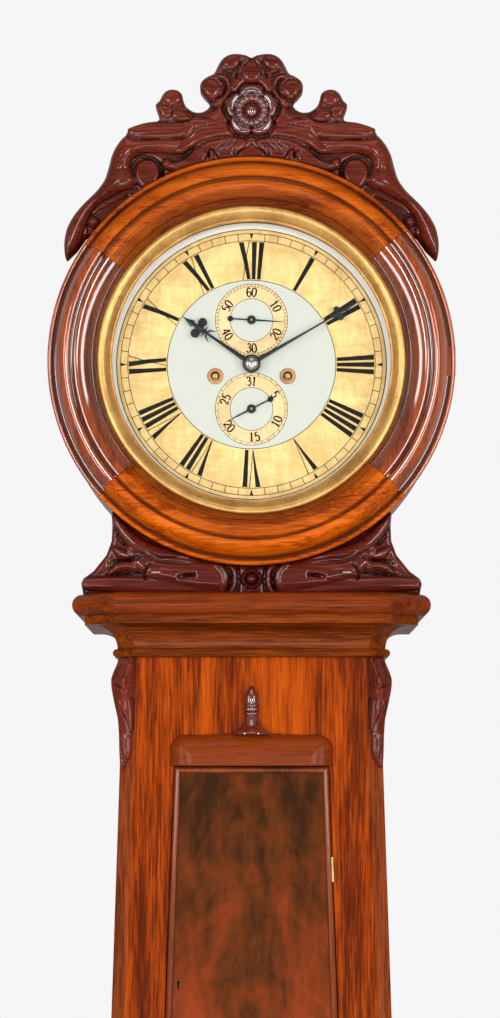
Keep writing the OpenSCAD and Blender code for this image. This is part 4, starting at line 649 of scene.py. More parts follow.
def closest(points, line, closed=False):
    """For each point: its distance to a line, the nearest place on it, how far along, and the side."""
    a = line if closed else line[:-1]
    b = np.roll(line, -1, 0) if closed else line[1:]
    best = np.full(len(points), 1e9)
    near = np.zeros((len(points), 2))
    along, side = np.zeros(len(points)), np.zeros(len(points))
    for i in range(len(a)):
        d = b[i] - a[i]
        t = np.clip(((points - a[i]) @ d) / max(d @ d, 1e-9), 0, 1)
        q = a[i] + t[:, None] * d
        off = points - q
        dist = np.hypot(off[:, 0], off[:, 1])
        m = dist < best
        best[m], near[m], along[m] = dist[m], q[m], (i + t[m]) / len(a)
        side[m] = np.sign(d[0] * off[m, 1] - d[1] * off[m, 0])
    return best, near, along, side


def inside_of(points, poly):
    x, z = points[:, 0], points[:, 1]
    hit = np.zeros(len(points), bool)
    for (x0, z0), (x1, z1) in zip(poly, np.roll(poly, -1, 0)):
        if z0 != z1:
            hit ^= ((z0 > z) != (z1 > z)) & (x < (x1 - x0) * (z - z0) / (z1 - z0) + x0)
    return hit


def blurred(grid, cells):
    """A Gaussian blur of a height grid, its spread given in cells."""
    n = int(3 * cells) + 1
    k = np.exp(-0.5 * (np.arange(-n, n + 1) / cells) ** 2)
    k /= k.sum()
    g = np.pad(grid, n, mode="edge")
    for axis in (0, 1):
        g = np.apply_along_axis(lambda r: np.convolve(r, k, "valid"), axis, g)
    return g


def taper(values, t):
    """Values spread evenly along a curve, or one for all of it, read at t (0 to 1)."""
    values = np.atleast_1d(values).astype(float)
    return np.interp(t, np.linspace(0, 1, len(values)), values)


def dome(u):
    """The height of a round crown of height 1 at u (0 in its middle, 1 at its foot)."""
    return np.sqrt(np.clip(1 - u ** 2, 0, 1))


class Field:
    """Heights over a flat ground, cut and raised as a carver would."""

    def __init__(self, points):
        self.p = points
        self.h = np.zeros(len(points))

    def near(self, line, reach):
        lo, hi = line.min(0) - reach, line.max(0) + reach
        return np.where(((self.p > lo) & (self.p < hi)).all(1))[0]

    def along(self, pts, reach):
        """The points near a curve, and for each its distance, its place along the curve and its side."""
        line = smooth(pts, 6) if len(pts) > 2 else np.asarray(pts, float)
        sel = self.near(line, reach)
        d, _, t, side = closest(self.p[sel], line)
        return sel, d, t, side

    def stroke(self, pts, half, top, foot=0.0, power=2.0, lean=0.0):
        """A rounded form along a curve: half-widths and crown heights from its root to its tip."""
        sel, d, t, side = self.along(pts, np.max(half) + 1)
        u = d / np.maximum(taper(half, t), 1e-3)
        s = u * side
        crown = np.sqrt(np.clip(1 - np.abs(s) ** power, 0, 1))
        value = foot + (taper(top, t) - foot) * crown * (1 + lean * s)
        m = u < 1
        self.h[sel[m]] = np.maximum(self.h[sel[m]], value[m])

    def form(self, outline, low, rise, reach):
        """Lays a rounded form over what is there: low at its outline, and fully risen within reach of it."""
        poly = smooth(outline, 4, closed=True)
        sel = self.near(poly, 0)
        sel = sel[inside_of(self.p[sel], poly)]
        u = np.clip(closest(self.p[sel], poly, closed=True)[0] / reach, 0, 1)
        self.h[sel] = low + rise * (1 - (1 - u) ** 2) ** 0.75

    def gouge(self, pts, half, depth):
        """A hollow along a curve, its depth fading at both ends."""
        sel, d, t, _ = self.along(pts, np.max(half) * 2)
        cut = taper(depth, t) * np.clip(np.minimum(t, 1 - t) / 0.08, 0, 1)
        self.h[sel] -= cut * np.exp(-((d / taper(half, t)) ** 2) * 1.6)

    def ridge(self, pts, half, height):
        """Swells the surface along a curve."""
        self.gouge(pts, half, [-value for value in height])

    def step(self, pts, height, reach):
        """Lifts the surface on the left of a curve, as where one leaf laps over another."""
        sel, d, t, side = self.along(pts, reach * 2.2)
        fade = np.clip(t / 0.12, 0, 1) * np.clip((1 - t) / 0.12, 0, 1)
        self.h[sel] += np.where(side == 1, height * fade * np.exp(-((d / reach) ** 2)), 0)

    def ball(self, centre, r, top, foot):
        u = np.hypot(*(self.p - centre).T) / r
        m = u < 1
        self.h[m] = np.maximum(self.h[m], foot + (top - foot) * dome(u[m]))


def carve(name, outline, draw, step, y_ground, y_back, edge_r, least=-99.0, soften=0.55, floor=0.6, lift=0.0,
          place=None, **kw):
    """A carved board: the heights that draw() gives over a closed outline, rounded over at its edges.

    lift is the world height of the outline's zero. Below the height floor the ground is darkened, as painted
    shade.
    """
    outline = np.asarray(outline, float) + [0, lift]
    lo, hi = outline.min(0) - step, outline.max(0) + step
    xs, zs = (np.arange(math.floor(lo[i] / step), math.ceil(hi[i] / step) + 1) * step for i in (0, 1))
    gx, gz = np.meshgrid(xs, zs, indexing="ij")
    points = np.stack([gx.ravel(), gz.ravel()], -1)
    dist, near, _, _ = closest(points, outline, closed=True)
    within = inside_of(points, outline)
    dist = np.where(within, dist, 0)
    field = Field(points - [0, lift])
    draw(field)
    h = blurred(field.h.reshape(gx.shape), soften / step)
    # Painted shade: darker in the hollows, where the surface lies below its blurred surroundings, and on the
    # ground below the height floor
    shade_and_joints = np.clip((blurred(h, 2.6 / step) - h) / 1.2, 0, 1) * 0.92
    shade_and_joints = np.maximum(shade_and_joints, np.clip((floor - h) / 2.4, 0, 1) * 0.75).ravel()
    h = np.maximum(h.ravel() - edge_r * (1 - np.clip(dist / edge_r, 0, 1)) ** 2, least)
    w = within.reshape(gx.shape)
    cell = w[:-1, :-1] | w[1:, :-1] | w[:-1, 1:] | w[1:, 1:]
    ids = np.arange(len(points)).reshape(gx.shape)
    quads = np.stack([ids[:-1, :-1], ids[1:, :-1], ids[1:, 1:], ids[:-1, 1:]], -1)[cell]
    used = np.unique(quads)
    number = np.full(len(points), -1)
    number[used] = np.arange(len(used))
    spot = np.where(within[:, None], points, near)[used]
    front = number[quads].tolist()
    n = len(used)
    sides = [(a, b) for q in front for a, b in zip(q, q[1:] + q[:1])]
    both_ways = set(sides)
    rim = [(a, b) for a, b in sides if (b, a) not in both_ways]
    layers = (y_ground - h[used], np.full(n, y_back))
    verts = np.concatenate([np.stack([spot[:, 0], y, spot[:, 1]], -1) for y in layers])
    faces = front + [[i + n for i in reversed(q)] for q in front] + [(b, a, a + n, b + n) for a, b in rim]
    # Painted shade: the sides darken towards the back
    dark = np.concatenate([shade_and_joints[used], np.full(n, 0.3)])
    if place:
        verts, faces = place(verts, faces)
    return make(name, verts, faces, attrs={"shade_and_joints": dark}, sharp=60, **kw)


def drum_arc(a0, n, r=243.8):
    """Points on the drum, from an angle counted from the top up to the top."""
    return [(r * math.sin(math.radians(a)), r * math.cos(math.radians(a))) for a in np.linspace(a0, 0, n)]


def mirrored(side):
    """A closed outline from its left half, which starts and ends on the middle line."""
    return side + [(-x, z) for x, z in reversed(side) if abs(x) > 1e-6]


def left_half(f):
    """Folds the field onto its left half, so that what is drawn there comes out on both sides."""
    f.p = np.stack([-np.abs(f.p[:, 0]), f.p[:, 1]], -1)


def softened(points, rounds):
    """A closed outline with its corners cut, so many times over."""
    p = np.asarray(points, float)
    for _ in range(rounds):
        q = np.roll(p, -1, 0)
        p = np.stack([0.8 * p + 0.2 * q, 0.2 * p + 0.8 * q], 1).reshape(-1, 2)
    return p


def petal_edge(off):
    """The rosette's radius in the direction of each point."""
    return 26.0 + 6.4 * np.abs(np.cos(2.5 * (np.arctan2(off[:, 1], off[:, 0]) - math.pi / 2))) ** 0.7


CREST_SIDE = [(0, 368.5), (-4, 371), (-8, 373.4), (-17.8, 375.6), (-28, 374.2), (-36.5, 368.2), (-41.6, 359),
    (-45, 351.2), (-53.4, 347.8), (-60.2, 342.7), (-62.8, 336.8), (-62, 328.4), (-56.8, 321.4),
    (-51.4, 316.4), (-50, 312), (-54, 307.4), (-61, 304), (-70.4, 304.6), (-79, 310.6), (-82.3, 317.1),
    (-84, 325.8), (-87.4, 330), (-96, 332.4), (-102.7, 330.9), (-108.6, 324.9), (-111, 318.4),
    (-116.6, 313.9), (-115.4, 307.9), (-112, 299.4), (-112, 293), (-128, 290.8), (-142, 286.4), (-150.2, 283),
    (-149.6, 278.6), (-156.5, 272), (-163.5, 263.4), (-169.5, 252.4), (-172.8, 238.4), (-177.6, 222.6),
    (-187.4, 208), (-203.5, 193.2), (-215.6, 178.6), (-223.6, 163.8), (-226.8, 148), (-226.6, 134),
    (-224.4, 124)]
CREST_TAIL = [(-217.5, 131), (-211.6, 136.5), (-205.5, 145), (-199.5, 153.5), (-193, 154)]


def draw_crest(f):
    left_half(f)
    r = np.hypot(f.p[:, 0], f.p[:, 1])
    f.h += 1.5
    # The stem behind the rosette, hollow towards its edges
    f.form([(4.3, 366), (-17.1, 366), (-27.3, 352.6), (-31.1, 336.6), (-31.9, 323.2), (-39.9, 311.1),
        (-54.6, 300.2), (-70.7, 297.5), (-81.4, 292.1), (-81.4, 272.3), (-60, 250.9), (4.3, 240.2)],
        2.5, 5.0, 16)
    # The great leaf that sweeps over the shoulder down into the tail
    f.form([(-70.7, 272.3), (-102.8, 273.7), (-129.6, 272.3), (-153.7, 276.3), (-163, 267), (-169.2, 250.9),
        (-172.9, 233.5), (-180.4, 218.8), (-196.5, 202.7), (-213.9, 184), (-225.4, 165.2), (-230.8, 143.8),
        (-229.2, 118.4), (-219.3, 129.1), (-207.7, 147), (-201.3, 165.2), (-194.4, 180.8), (-181.8, 194.2),
        (-164.4, 204.1), (-143, 212.9), (-137.1, 221.5), (-143, 229.5), (-146.2, 240.2), (-143, 248.8),
        (-132.3, 253.6), (-113.5, 254.1), (-86.7, 252.2), (-73.4, 258.9)], 3.0, 7.2, 17)
    f.ridge([(-81.4, 264.3), (-108.2, 263.8), (-129.6, 262.1), (-147, 258.4), (-156.3, 245.5),
        (-161.2, 229.5), (-171.1, 212.1), (-188.5, 194.7), (-204.5, 175.9), (-215.2, 154.5)],
        [5, 6, 7, 8, 8, 7, 6, 5, 4, 3], [0.5, 1.2, 1.5, 1.8, 1.8, 1.6, 1.4, 1.2, 0.8, 0.3])
    # The upper leaf laps over it, with shallow flutes
    f.form([(-22.5, 287), (-43.9, 293.2), (-65.3, 295.9), (-86.7, 294.3), (-110.8, 293.2), (-126.9, 292.1),
        (-141.6, 288.9), (-153.7, 282.5), (-151, 275.5), (-138.9, 271.2), (-116.2, 270.2), (-92.1, 271.2),
        (-70.7, 272.3), (-43.9, 274.5), (-22.5, 277.7)], 6.6, 3.6, 8)
    f.gouge([(-148.3, 278.7), (-132.3, 282.5), (-110.8, 284.1), (-86.7, 284.1), (-70.7, 285.2)],
        1.2, [0.6, 1.2, 1.2, 0.8])
    f.gouge([(-143, 274.2), (-124.2, 276.6), (-102.8, 277.4), (-81.4, 278.2)], 1.1, [0.6, 1.2, 1.0, 0.6])
    f.gouge([(-138.9, 286.8), (-121.5, 288.9), (-105.5, 289.5), (-89.4, 288.9)], 0.9, [0.5, 0.9, 0.8, 0.5])
    # The leaf that springs from the rosette and turns down at its tip
    f.form([(-19.8, 289.7), (-38.6, 288.9), (-57.3, 286.2), (-70.7, 283), (-78.2, 276.6), (-83.5, 267),
        (-91, 259.5), (-93.2, 253.6), (-84.6, 252.5), (-73.9, 258.4), (-62.6, 265.9), (-46.6, 271.2),
        (-30.5, 273.4), (-19.8, 274.5)], 7.6, 3.8, 7)
    f.gouge([(-33.2, 282.5), (-51.9, 280.4), (-68, 274.5), (-78.7, 264.3)], 1.2, [0.5, 1.4, 1.6, 0.8])
    f.form([(-71.2, 288.9), (-78.2, 287), (-82.5, 282.5), (-84.6, 276.3), (-79.8, 272.9), (-73.9, 275.5),
        (-70.1, 280.9), (-67.5, 285.7)], 8.4, 3.0, 3.5)
    # The lower leaf, from under the rosette along the drum
    f.form([(-9.1, 274.5), (-27.8, 272.9), (-46.6, 269.6), (-61.3, 263.2), (-72.8, 254.1), (-81.4, 246.1),
        (-96.1, 241.3), (-105.5, 242.3), (-107.6, 237), (-97.5, 232.7), (-81.4, 229.5), (-60, 234.8),
        (-38.6, 240.2), (-17.1, 245.5), (-6.4, 261.6)], 6.2, 4.4, 8.5)
    f.gouge([(-43.9, 261.6), (-60, 254.7), (-73.4, 245.5), (-86.7, 239.1)], 1.3, [0.5, 1.6, 1.6, 0.6])
    f.gouge([(-13.9, 271.2), (-20.9, 264.3), (-32.1, 255.7)], 1.5, [0.6, 3.0, 1.6])
    f.gouge([(-22, 269.6), (-28.9, 262.7), (-39.6, 254.4)], 1.5, [0.6, 3.0, 1.6])
    f.gouge([(-30, 268), (-36.9, 261.1), (-47.1, 253)], 1.5, [0.6, 3.0, 1.6])
    f.ball((-102.3, 240.2), 5.9, 9.6, 4)
    # Small curled tips and deep cuts between it and the drum
    f.form([(-43.9, 254.1), (-50.3, 258.4), (-52.5, 251.4), (-56.8, 245.5), (-46.6, 242.9), (-39.6, 245.5)],
        5.0, 4.4, 3)
    f.form([(0, 264.3), (-7, 260), (-17.1, 253.6), (-13.9, 245.5), (0, 245.5), (9.6, 250.9)], 4.6, 4.0, 4)
    f.gouge([(-58.4, 255.7), (-52.5, 253.6), (-51.4, 245.5)], 1.8, [2.0, 4.5, 4.0])
    f.gouge([(-19.3, 258.4), (-20.9, 252), (-18.2, 245.5)], 1.8, [1.6, 4.0, 3.6])
    # The scroll at the drum: a plain round field within a rolled edge
    f.gouge([(-111.9, 216.1), (-108.7, 229.5), (-112.4, 241.3), (-123.7, 248.8), (-137.1, 248.8),
        (-145.1, 241.3), (-145.1, 229.5), (-139.2, 219.3)], [2.6, 3.4, 3.0, 2.2, 2.2, 2.4, 2.2, 2.0],
        [6, 7, 5, 2.6, 1.8, 1.4, 1.2, 0.6])
    f.form([(-126.4, 245.5), (-117.5, 243.4), (-112.4, 236.2), (-111.4, 225.5), (-116.2, 213.4),
        (-126.9, 208.1), (-137.1, 215.6), (-140.8, 225.5), (-139.7, 236.2), (-134.4, 243.4)], 4.4, 3.8, 4.5)
    f.gouge([(-148.3, 245.5), (-155, 249.3), (-161.2, 245.5)], 1.2, [0.5, 1.3, 0.4])
    f.gouge([(-147.8, 233.5), (-156.3, 234.8), (-163.8, 231.6)], 1.2, [0.5, 1.2, 0.4])
    # The outer scroll: a ball over two rolls, with a lip along its inner side
    f.form([(-70.7, 297.8), (-77.4, 303.1), (-81.9, 312.5), (-82.5, 324.5), (-94.8, 331.7), (-106, 328),
        (-110.3, 319.4), (-116.7, 312.5), (-114.6, 303.9), (-110.3, 299.1), (-111.9, 291.1), (-92.1, 289.5),
        (-76, 291.1)], 4.0, 3.5, 6)
    f.form([(-105.5, 311.9), (-114.6, 311.9), (-115.1, 303.1), (-108.2, 295.9), (-96.1, 294.3),
        (-92.1, 301.8), (-96.1, 309.3)], 6.4, 4.0, 6)
    f.form([(-92.1, 305.5), (-97.5, 301.2), (-95.8, 294.3), (-85.4, 290.5), (-73.4, 293.2), (-77.4, 300.2),
        (-84.6, 304.4)], 6.0, 4.2, 6)
    f.form([(-94.8, 330.7), (-104.4, 326.9), (-108.2, 318.4), (-103.9, 310.9), (-94.2, 308.7), (-85.1, 313),
        (-83, 322.6), (-86.7, 328.5)], 6.2, 5.6, 9)
    f.ridge([(-82.5, 323.2), (-81.4, 312.5), (-76.6, 303.4), (-65.3, 298), (-49.3, 302.8)],
        1.8, [0.8, 1.6, 1.6, 1.4, 0.8])
    # The inner scroll, wound round its eye
    f.form([(-57.3, 344.1), (-46.6, 347.8), (-33.2, 350), (-25.2, 341.9), (-25.2, 317.8), (-38.6, 307.7),
        (-46.6, 309.3), (-48.2, 316.2), (-57.3, 318.4), (-62.6, 326.9), (-61.6, 337.6)], 5.0, 4.6, 6)
    f.gouge([(-42.3, 344.1), (-33.7, 339.2), (-31.6, 330.7), (-35.3, 322.6), (-43.4, 318.4), (-46.6, 312.5)],
        [2.0, 2.6, 2.8, 2.6, 2.2, 1.8], [2.0, 6.0, 7.0, 6.5, 4.5, 2.0])
    f.form([(-48.2, 343), (-56.8, 340.3), (-61, 331.2), (-57.8, 321.6), (-49.3, 317.3), (-40.7, 320.5),
        (-36.4, 328.5), (-38, 337.6)], 6.4, 5.4, 8.5)
    # The upper scroll
    f.form([(4.3, 371.4), (-11.8, 374), (-25.2, 374), (-36.4, 367.6), (-40.2, 355.8), (-43.9, 349.4),
        (-32.7, 347.8), (-19.8, 347.3), (-6.4, 350), (4.3, 350)], 4.6, 4.2, 6)
    f.form([(-17.1, 371.9), (-27.8, 371.4), (-34.8, 365.5), (-34.3, 356.9), (-26.2, 353.2), (-17.1, 355.8),
        (-12.9, 363.3)], 6.6, 5.2, 7)
    f.gouge([(-15.5, 356.4), (-22.5, 351.6), (-30.5, 351), (-36.4, 354.8)], 1.7, [1.5, 4.6, 4.6, 2.0])
    f.form([(-25.7, 354.2), (-30, 355.8), (-32.1, 352.6), (-29.5, 349.4), (-24.1, 349.4), (-20.9, 352.1)],
        8.0, 3.2, 3)
    f.gouge([(-9.6, 368.2), (-13.9, 359.1), (-17.1, 351), (-19.8, 341.9)], [1.6, 2.0, 2.0, 1.6],
        [1.0, 3.4, 3.6, 2.4])
    # The bud over the rosette
    f.form([(0, 367.1), (-7.5, 362.3), (-12.9, 353.7), (-12.3, 344.1), (-7, 337.6), (0, 335), (7, 337.6),
        (12.3, 344.1), (12.8, 353.7), (7.5, 362.3)], 5.8, 6.0, 8.5)
    f.gouge([(0, 368.7), (0, 360.7), (0, 353.7)], 1.6, [2.6, 2.0, 0.6])
    # A dark hollow round the rosette
    off = f.p - [0, ROSETTE_Z]
    f.h -= 5.0 * np.exp(-(((np.hypot(*off.T) / petal_edge(off) - 1.05) / 0.09) ** 2))
    # Near the drum everything falls back behind the round door, and no form stands proud of the board
    most = 12.6 - 6.0 * np.clip((254.0 - r) / 9.0, 0, 1) ** 1.5
    f.h = np.where(f.h > most - 4, most - 4 * np.exp(-np.maximum(f.h - most + 4, 0) / 4), f.h)
    # Low ground between the tail and the drum, with a ball on it
    tail = np.array([(-150, 203), (-166, 196), (-183, 187), (-193.5, 178), (-198.8, 167.4), (-199.5, 158),
        (-204, 146), (-150, 150), (-140, 195)])
    low = inside_of(f.p, tail)
    d = closest(f.p, tail[:7])[0]
    f.h[low] = np.maximum(f.h[low] - np.minimum(3.0 * d[low], 8.5), -0.8)
    f.ball((-191.4, 170.4), 7.0, 8.5, -0.5)


def draw_rosette(f):
    """Five broad petals, a fluted cup and a button."""
    rad, ang = np.hypot(*f.p.T), np.arctan2(f.p[:, 1], f.p[:, 0])
    edge = petal_edge(f.p)
    v = np.clip((rad - 20.4) / (edge - 20.4), 0, 1)
    petals = 6.0 + 4.8 * (1 - (1.7 * v - 0.8) ** 2) - 3.2 * np.clip(1 - (edge - 26.0) / 2.4, 0, 1)
    cup = 7.6 + 6.6 * dome((rad - 15.2) / 5.6) - 2.8 * (1 - np.abs(np.cos(8 * ang)) ** 0.7)
    f.h = np.select([rad < 8.2, rad < 9.6, rad < 20.2], [3.5 + 7.0 * dome(rad / 8.2), 3.0, cup], petals)


HOOD_CARVING = dict(body="hood", slot="dark_mahogany")
crest_outline = softened(mirrored(CREST_SIDE + CREST_TAIL + drum_arc(-51.2, 36)), 2)
carve("crest_carved", crest_outline, draw_crest, step=1.0, y_ground=-66.6, y_back=-52.7, edge_r=5.0,
      least=-7.5, lift=DRUM_Z, mats=M["carved"], replaces=["crest_carving"], **HOOD_CARVING)
turn = np.radians(np.arange(0, 360, 4))
turn = np.stack([np.cos(turn), np.sin(turn)], -1)
carve("crest_rosette", turn * petal_edge(turn)[:, None], draw_rosette, step=0.75, y_ground=-69.4,
      y_back=-66.0, edge_r=2.0, least=0.5, soften=0.4, floor=-9, lift=DRUM_Z + ROSETTE_Z, mats=M["gloss"],
      replaces=["crest_carving"], **HOOD_CARVING)

SADDLE_SIDE = [(-169.6, 99), (-168.6, 84), (-169.4, 66), (-175.8, 48.6), (-191.6, 29), (-204, 20), (-206, 14),
    (-204.2, 2), (-203.6, 0)]


def draw_saddle(f):
    left_half(f)
    f.h += 1.6
    r = np.hypot(f.p[:, 0], f.p[:, 1] - (DRUM_Z - SLAB_Z))
    # Plain belly along the foot, from the bracket outwards
    f.stroke([(-30, 8), (-80, 9), (-130, 11), (-178, 14), (-204, 12.5)], [11, 12, 11, 9, 5.5],
        [5.5, 6.5, 7.0, 7.6, 7.6], 1.0, 2.4)
    f.stroke([(-36, 22), (-62, 24), (-92, 26), (-118, 31), (-136, 42), (-150, 60)], [19, 19, 15, 13, 10, 4],
        [9.5, 9.4, 9.0, 9.0, 8.4, 5], 1.5, 2.4, lean=0.08)
    f.stroke([(-70, 41), (-95, 46), (-118, 51), (-140, 62), (-156, 78), (-168, 96)], [7, 8.5, 9, 9, 7, 3.6],
        [7, 8.6, 9.4, 9.4, 8.6, 7], 1, 2.0)
    f.stroke([(-92, 24), (-110, 27), (-128, 25)], [9, 9, 3], [9.8, 10.2, 7.5], 3, 2.0)
    f.gouge([(-119, 40), (-127, 32), (-129.5, 22), (-126, 17)], 1.7, [1.5, 4.2, 3.6, 0.6])
    f.gouge([(-50, 36.5), (-76, 43), (-94, 45), (-112, 45.5), (-127, 53)], 1.5, [0.5, 1.8, 2.2, 2.8, 1.6])
    # Lobes in the corner field, between deep cuts
    f.stroke([(-138, 33), (-152, 36), (-163, 33), (-172, 26)], [4.5, 6, 5.5, 2.5], [6, 7.6, 7.6, 5.5],
        0.5, 2.0)
    f.stroke([(-148, 46), (-158, 50), (-166, 56)], [4, 6.5, 3], [5, 7, 5.5], 0.0, 2.0)
    f.gouge([(-132, 47), (-146, 43), (-158, 41), (-170, 41)], 2.6, [2.6, 4.4, 4.2, 2.0])
    f.gouge([(-134, 27.5), (-150, 26), (-166, 24.5), (-180, 24)], 2.0, [1.8, 3.4, 3.2, 1.4])
    f.gouge([(-149, 57), (-157, 65), (-163, 74)], 2.2, [1.6, 3.6, 2.0])
    f.h -= 2.6 * np.exp(-((np.hypot(*(f.p - (-170, 36)).T) / 4.5) ** 2) * 1.4)
    # The eye
    f.gouge([(-90, 21), (-79, 23.3), (-67, 24.6)], 2.8, [0.6, 7.2, 3.2])
    # The scroll and its bracket beside the roundel
    f.stroke([(-42, 37), (-33.5, 29.5), (-31.4, 18), (-35, 7)], [5.5, 5.5, 5.5, 5], [9.5, 11.2, 11.2, 8.5],
        4, 2.0)
    f.gouge([(-37, 40), (-27.4, 30), (-25.2, 18.5), (-28, 8), (-33, 1)], 2.6, [3, 7.5, 8, 7, 3])
    f.stroke([(-30, 40), (-21.8, 31), (-19.4, 19), (-21.8, 9), (-26, 2)], [3.0], [6.2, 7.4, 7.6, 7.4, 6],
        2, 2.0)
    f.gouge([(-15.8, 36), (-15.6, 19), (-15.8, 3)], 2.0, [3.4])
    # The roundel: a ring round a ball
    rad = np.hypot(*(f.p - (0, 19.5)).T)
    f.h = np.select([rad < 6.6, rad < 13.2],
        [9.0 * dome(rad / 6.6) - 1.2, 9.2 * np.exp(-(((rad - 10.2) / 2.1) ** 2)) - 1.2], f.h)
    f.h -= 5.0 * np.clip((250.5 - r) / 7.5, 0, 1) ** 1.5


drum_below = [(x, DRUM_Z - SLAB_Z - z) for x, z in drum_arc(-46.5, 30)]
saddle_outline = mirrored([(0, 0)] + SADDLE_SIDE[::-1] + [p for p in drum_below if p[0] > -169])
carve("saddle_carved", saddle_outline, draw_saddle, step=1.0, y_ground=-67.4, y_back=-54.7, edge_r=4.5,
      least=-9, lift=SLAB_Z, mats=M["saddle"], replaces=["saddle_carving"], **HOOD_CARVING)

# Corbels, door cap and acorn

CORBEL_TOP = 1349.0
SLOPE = 0.0338983  # how far the trunk's sides lean out for each millimetre down
CORNER = np.array([-(155.5 + (1353 - CORBEL_TOP) * SLOPE - 8.25), TRUNK_Y + 8.25])
ACROSS = np.array([1, -1]) / math.sqrt(2)
OUT = np.array([-1, -1]) / math.sqrt(2)


def on_corner(side, axes):
    """Places a carved board on a cut corner: axes turn its (x, y) into (across, out) on the corner's face."""

    def place(verts, faces):
        right, out = axes(verts[:, 0], verts[:, 1])
        xy = CORNER + right[:, None] * ACROSS + out[:, None] * OUT
        x = xy[:, 0] + SLOPE * verts[:, 2]
        done = np.stack([x if side < 0 else -x, xy[:, 1], verts[:, 2] + CORBEL_TOP], -1)
        return done, faces if side < 0 else [tuple(reversed(q)) for q in faces]

    return place


LEAF = [(-11.6, 3.8), (-11.8, -14), (-11.7, -28), (-11, -46), (-8.8, -66), (-8.0, -84), (-8.0, -110),
    (-7.6, -124), (-6, -131.5), (-2, -129), (1.6, -124), (4, -119.4), (7.6, -119.8), (9.4, -112), (9.6, -100),
    (8.4, -92), (10.6, -89.4), (11.4, -82), (11.8, -60), (12, -38), (12, 3.8)]
CHEEK = [(0, 3.8), (8.6, 3.8), (9.8, -1), (12.4, -6), (16.6, -14), (19.6, -22), (19.6, -29), (16, -35),
    (8, -38.4), (0, -39)]


def draw_leaf(f):
    u, v = f.p[:, 0], f.p[:, 1]
    proud = np.interp(-v, [-4, 6, 14, 24, 33, 46, 60, 72, 91, 110, 125, 131],
        [8.6, 13, 17.5, 21, 20.6, 18, 13.6, 10.2, 8.0, 6.6, 5.2, 3.6])
    k = np.interp(-v, [26, 46, 90], [6.0, 2.8, 2.4])
    lean = np.interp(-v, [30, 50], [0.0, -1.8])
    f.h += proud * np.clip(1 - np.abs(np.clip((u - lean) / 13.6, -1, 1)) ** k, 0, 1) ** (1 / k)
    # The scroll over the leaf: a channel down its face, and the line where the leaf springs from under it
    f.gouge([(-3, -1), (-4, -14), (-5.5, -27)], 2.6, [0.6, 2.0, 1.0])
    f.gouge([(-9, -28), (-3, -30), (4, -32.5), (12, -38)], 1.5, [0.6, 1.8, 2.6, 2.6])
    # Lobes of the leaf, each springing from under the one above
    f.step([(-6, -44), (1, -56), (5.5, -68), (9, -79), (10.4, -90)], 1.8, 5)
    f.gouge([(-6, -44), (0, -57), (4.6, -69), (8, -80), (9.4, -91)], 1.1, [0.3, 1.4, 2.0, 2.6, 2.8])
    f.step([(-6, -78), (-1, -90), (3, -101), (6, -112), (6.6, -121)], 1.5, 4)
    f.gouge([(-6, -78), (-1.6, -91), (2, -102), (5, -113), (5.4, -121)], 1.0, [0.3, 1.4, 2.0, 2.4, 2.6])
    f.gouge([(-6.5, -96), (-4.5, -106), (-2, -117), (-1, -127)], 1.0, [0.3, 1.4, 2.0, 1.4])
    for k in range(3):
        f.gouge([(-2 + 3 * k, -48 - 7 * k), (3 + 2.4 * k, -60 - 6 * k), (7 + 1.2 * k, -74 - 4 * k)],
            0.9, [0.2, 0.6, 0.3])


def draw_cheek(sign):
    def draw(f):
        x, v = f.p[:, 0] * sign, f.p[:, 1]
        f.h -= 5.0 * np.sqrt(np.clip(1 - ((x - 7.5) / 8.0) ** 2 - ((v + 16.5) / 13.5) ** 2, 0, 1))
        f.ridge([(1 * sign, -29), (8 * sign, -31), (14.5 * sign, -27)], 1.5, [0.6, 1.4, 0.8])
        f.gouge([(0, -32.5), (9 * sign, -34.5), (16 * sign, -30.5)], 1.2, [1.2, 1.4, 0.6])

    return draw


look = dict(mats=M["corbel"], body="case", slot="dark_mahogany", replaces=["corbels"], step=0.8, soften=0.5)
for side, word in ((-1, "left"), (1, "right")):
    carve(f"corbel_{word}_leaf", softened(LEAF, 1), draw_leaf, y_ground=0.0, y_back=1.0, edge_r=1.6,
          least=0.4, place=on_corner(side, lambda x, y: (x, -y)), **look)
    carve(f"corbel_{word}_inner_cheek", [(-p, v) for p, v in CHEEK], draw_cheek(-1), y_ground=-12.0,
          y_back=-4.0, edge_r=1.2, place=on_corner(side, lambda x, y: (-y, -x)), **look)
    carve(f"corbel_{word}_outer_cheek", CHEEK, draw_cheek(1), y_ground=-11.9,
          y_back=-4.0, edge_r=1.2, place=on_corner(side, lambda x, y: (y, x)), **look)

CAP_EDGE = [(-98.4, 1221), (-98.5, 1238)] + arc(-80.5, 1239, 18, 19.6, 180, 90, 12)
CAP_EDGE = mirrored(CAP_EDGE + [(-60, 1259.2), (-36, 1259.8), (-22, 1261), (-12, 1262.8), (-4, 1263),
    (0, 1263)])


def draw_cap(f):
    """A pillow: full along the foot, falling away in a wide round to the ends and the top."""
    d = closest(f.p, np.array(CAP_EDGE))[0]
    f.h += 17.0 * np.clip(1 - (1 - np.clip(d / 30.0, 0, 1)) ** 2.2, 0, 1) ** 0.62


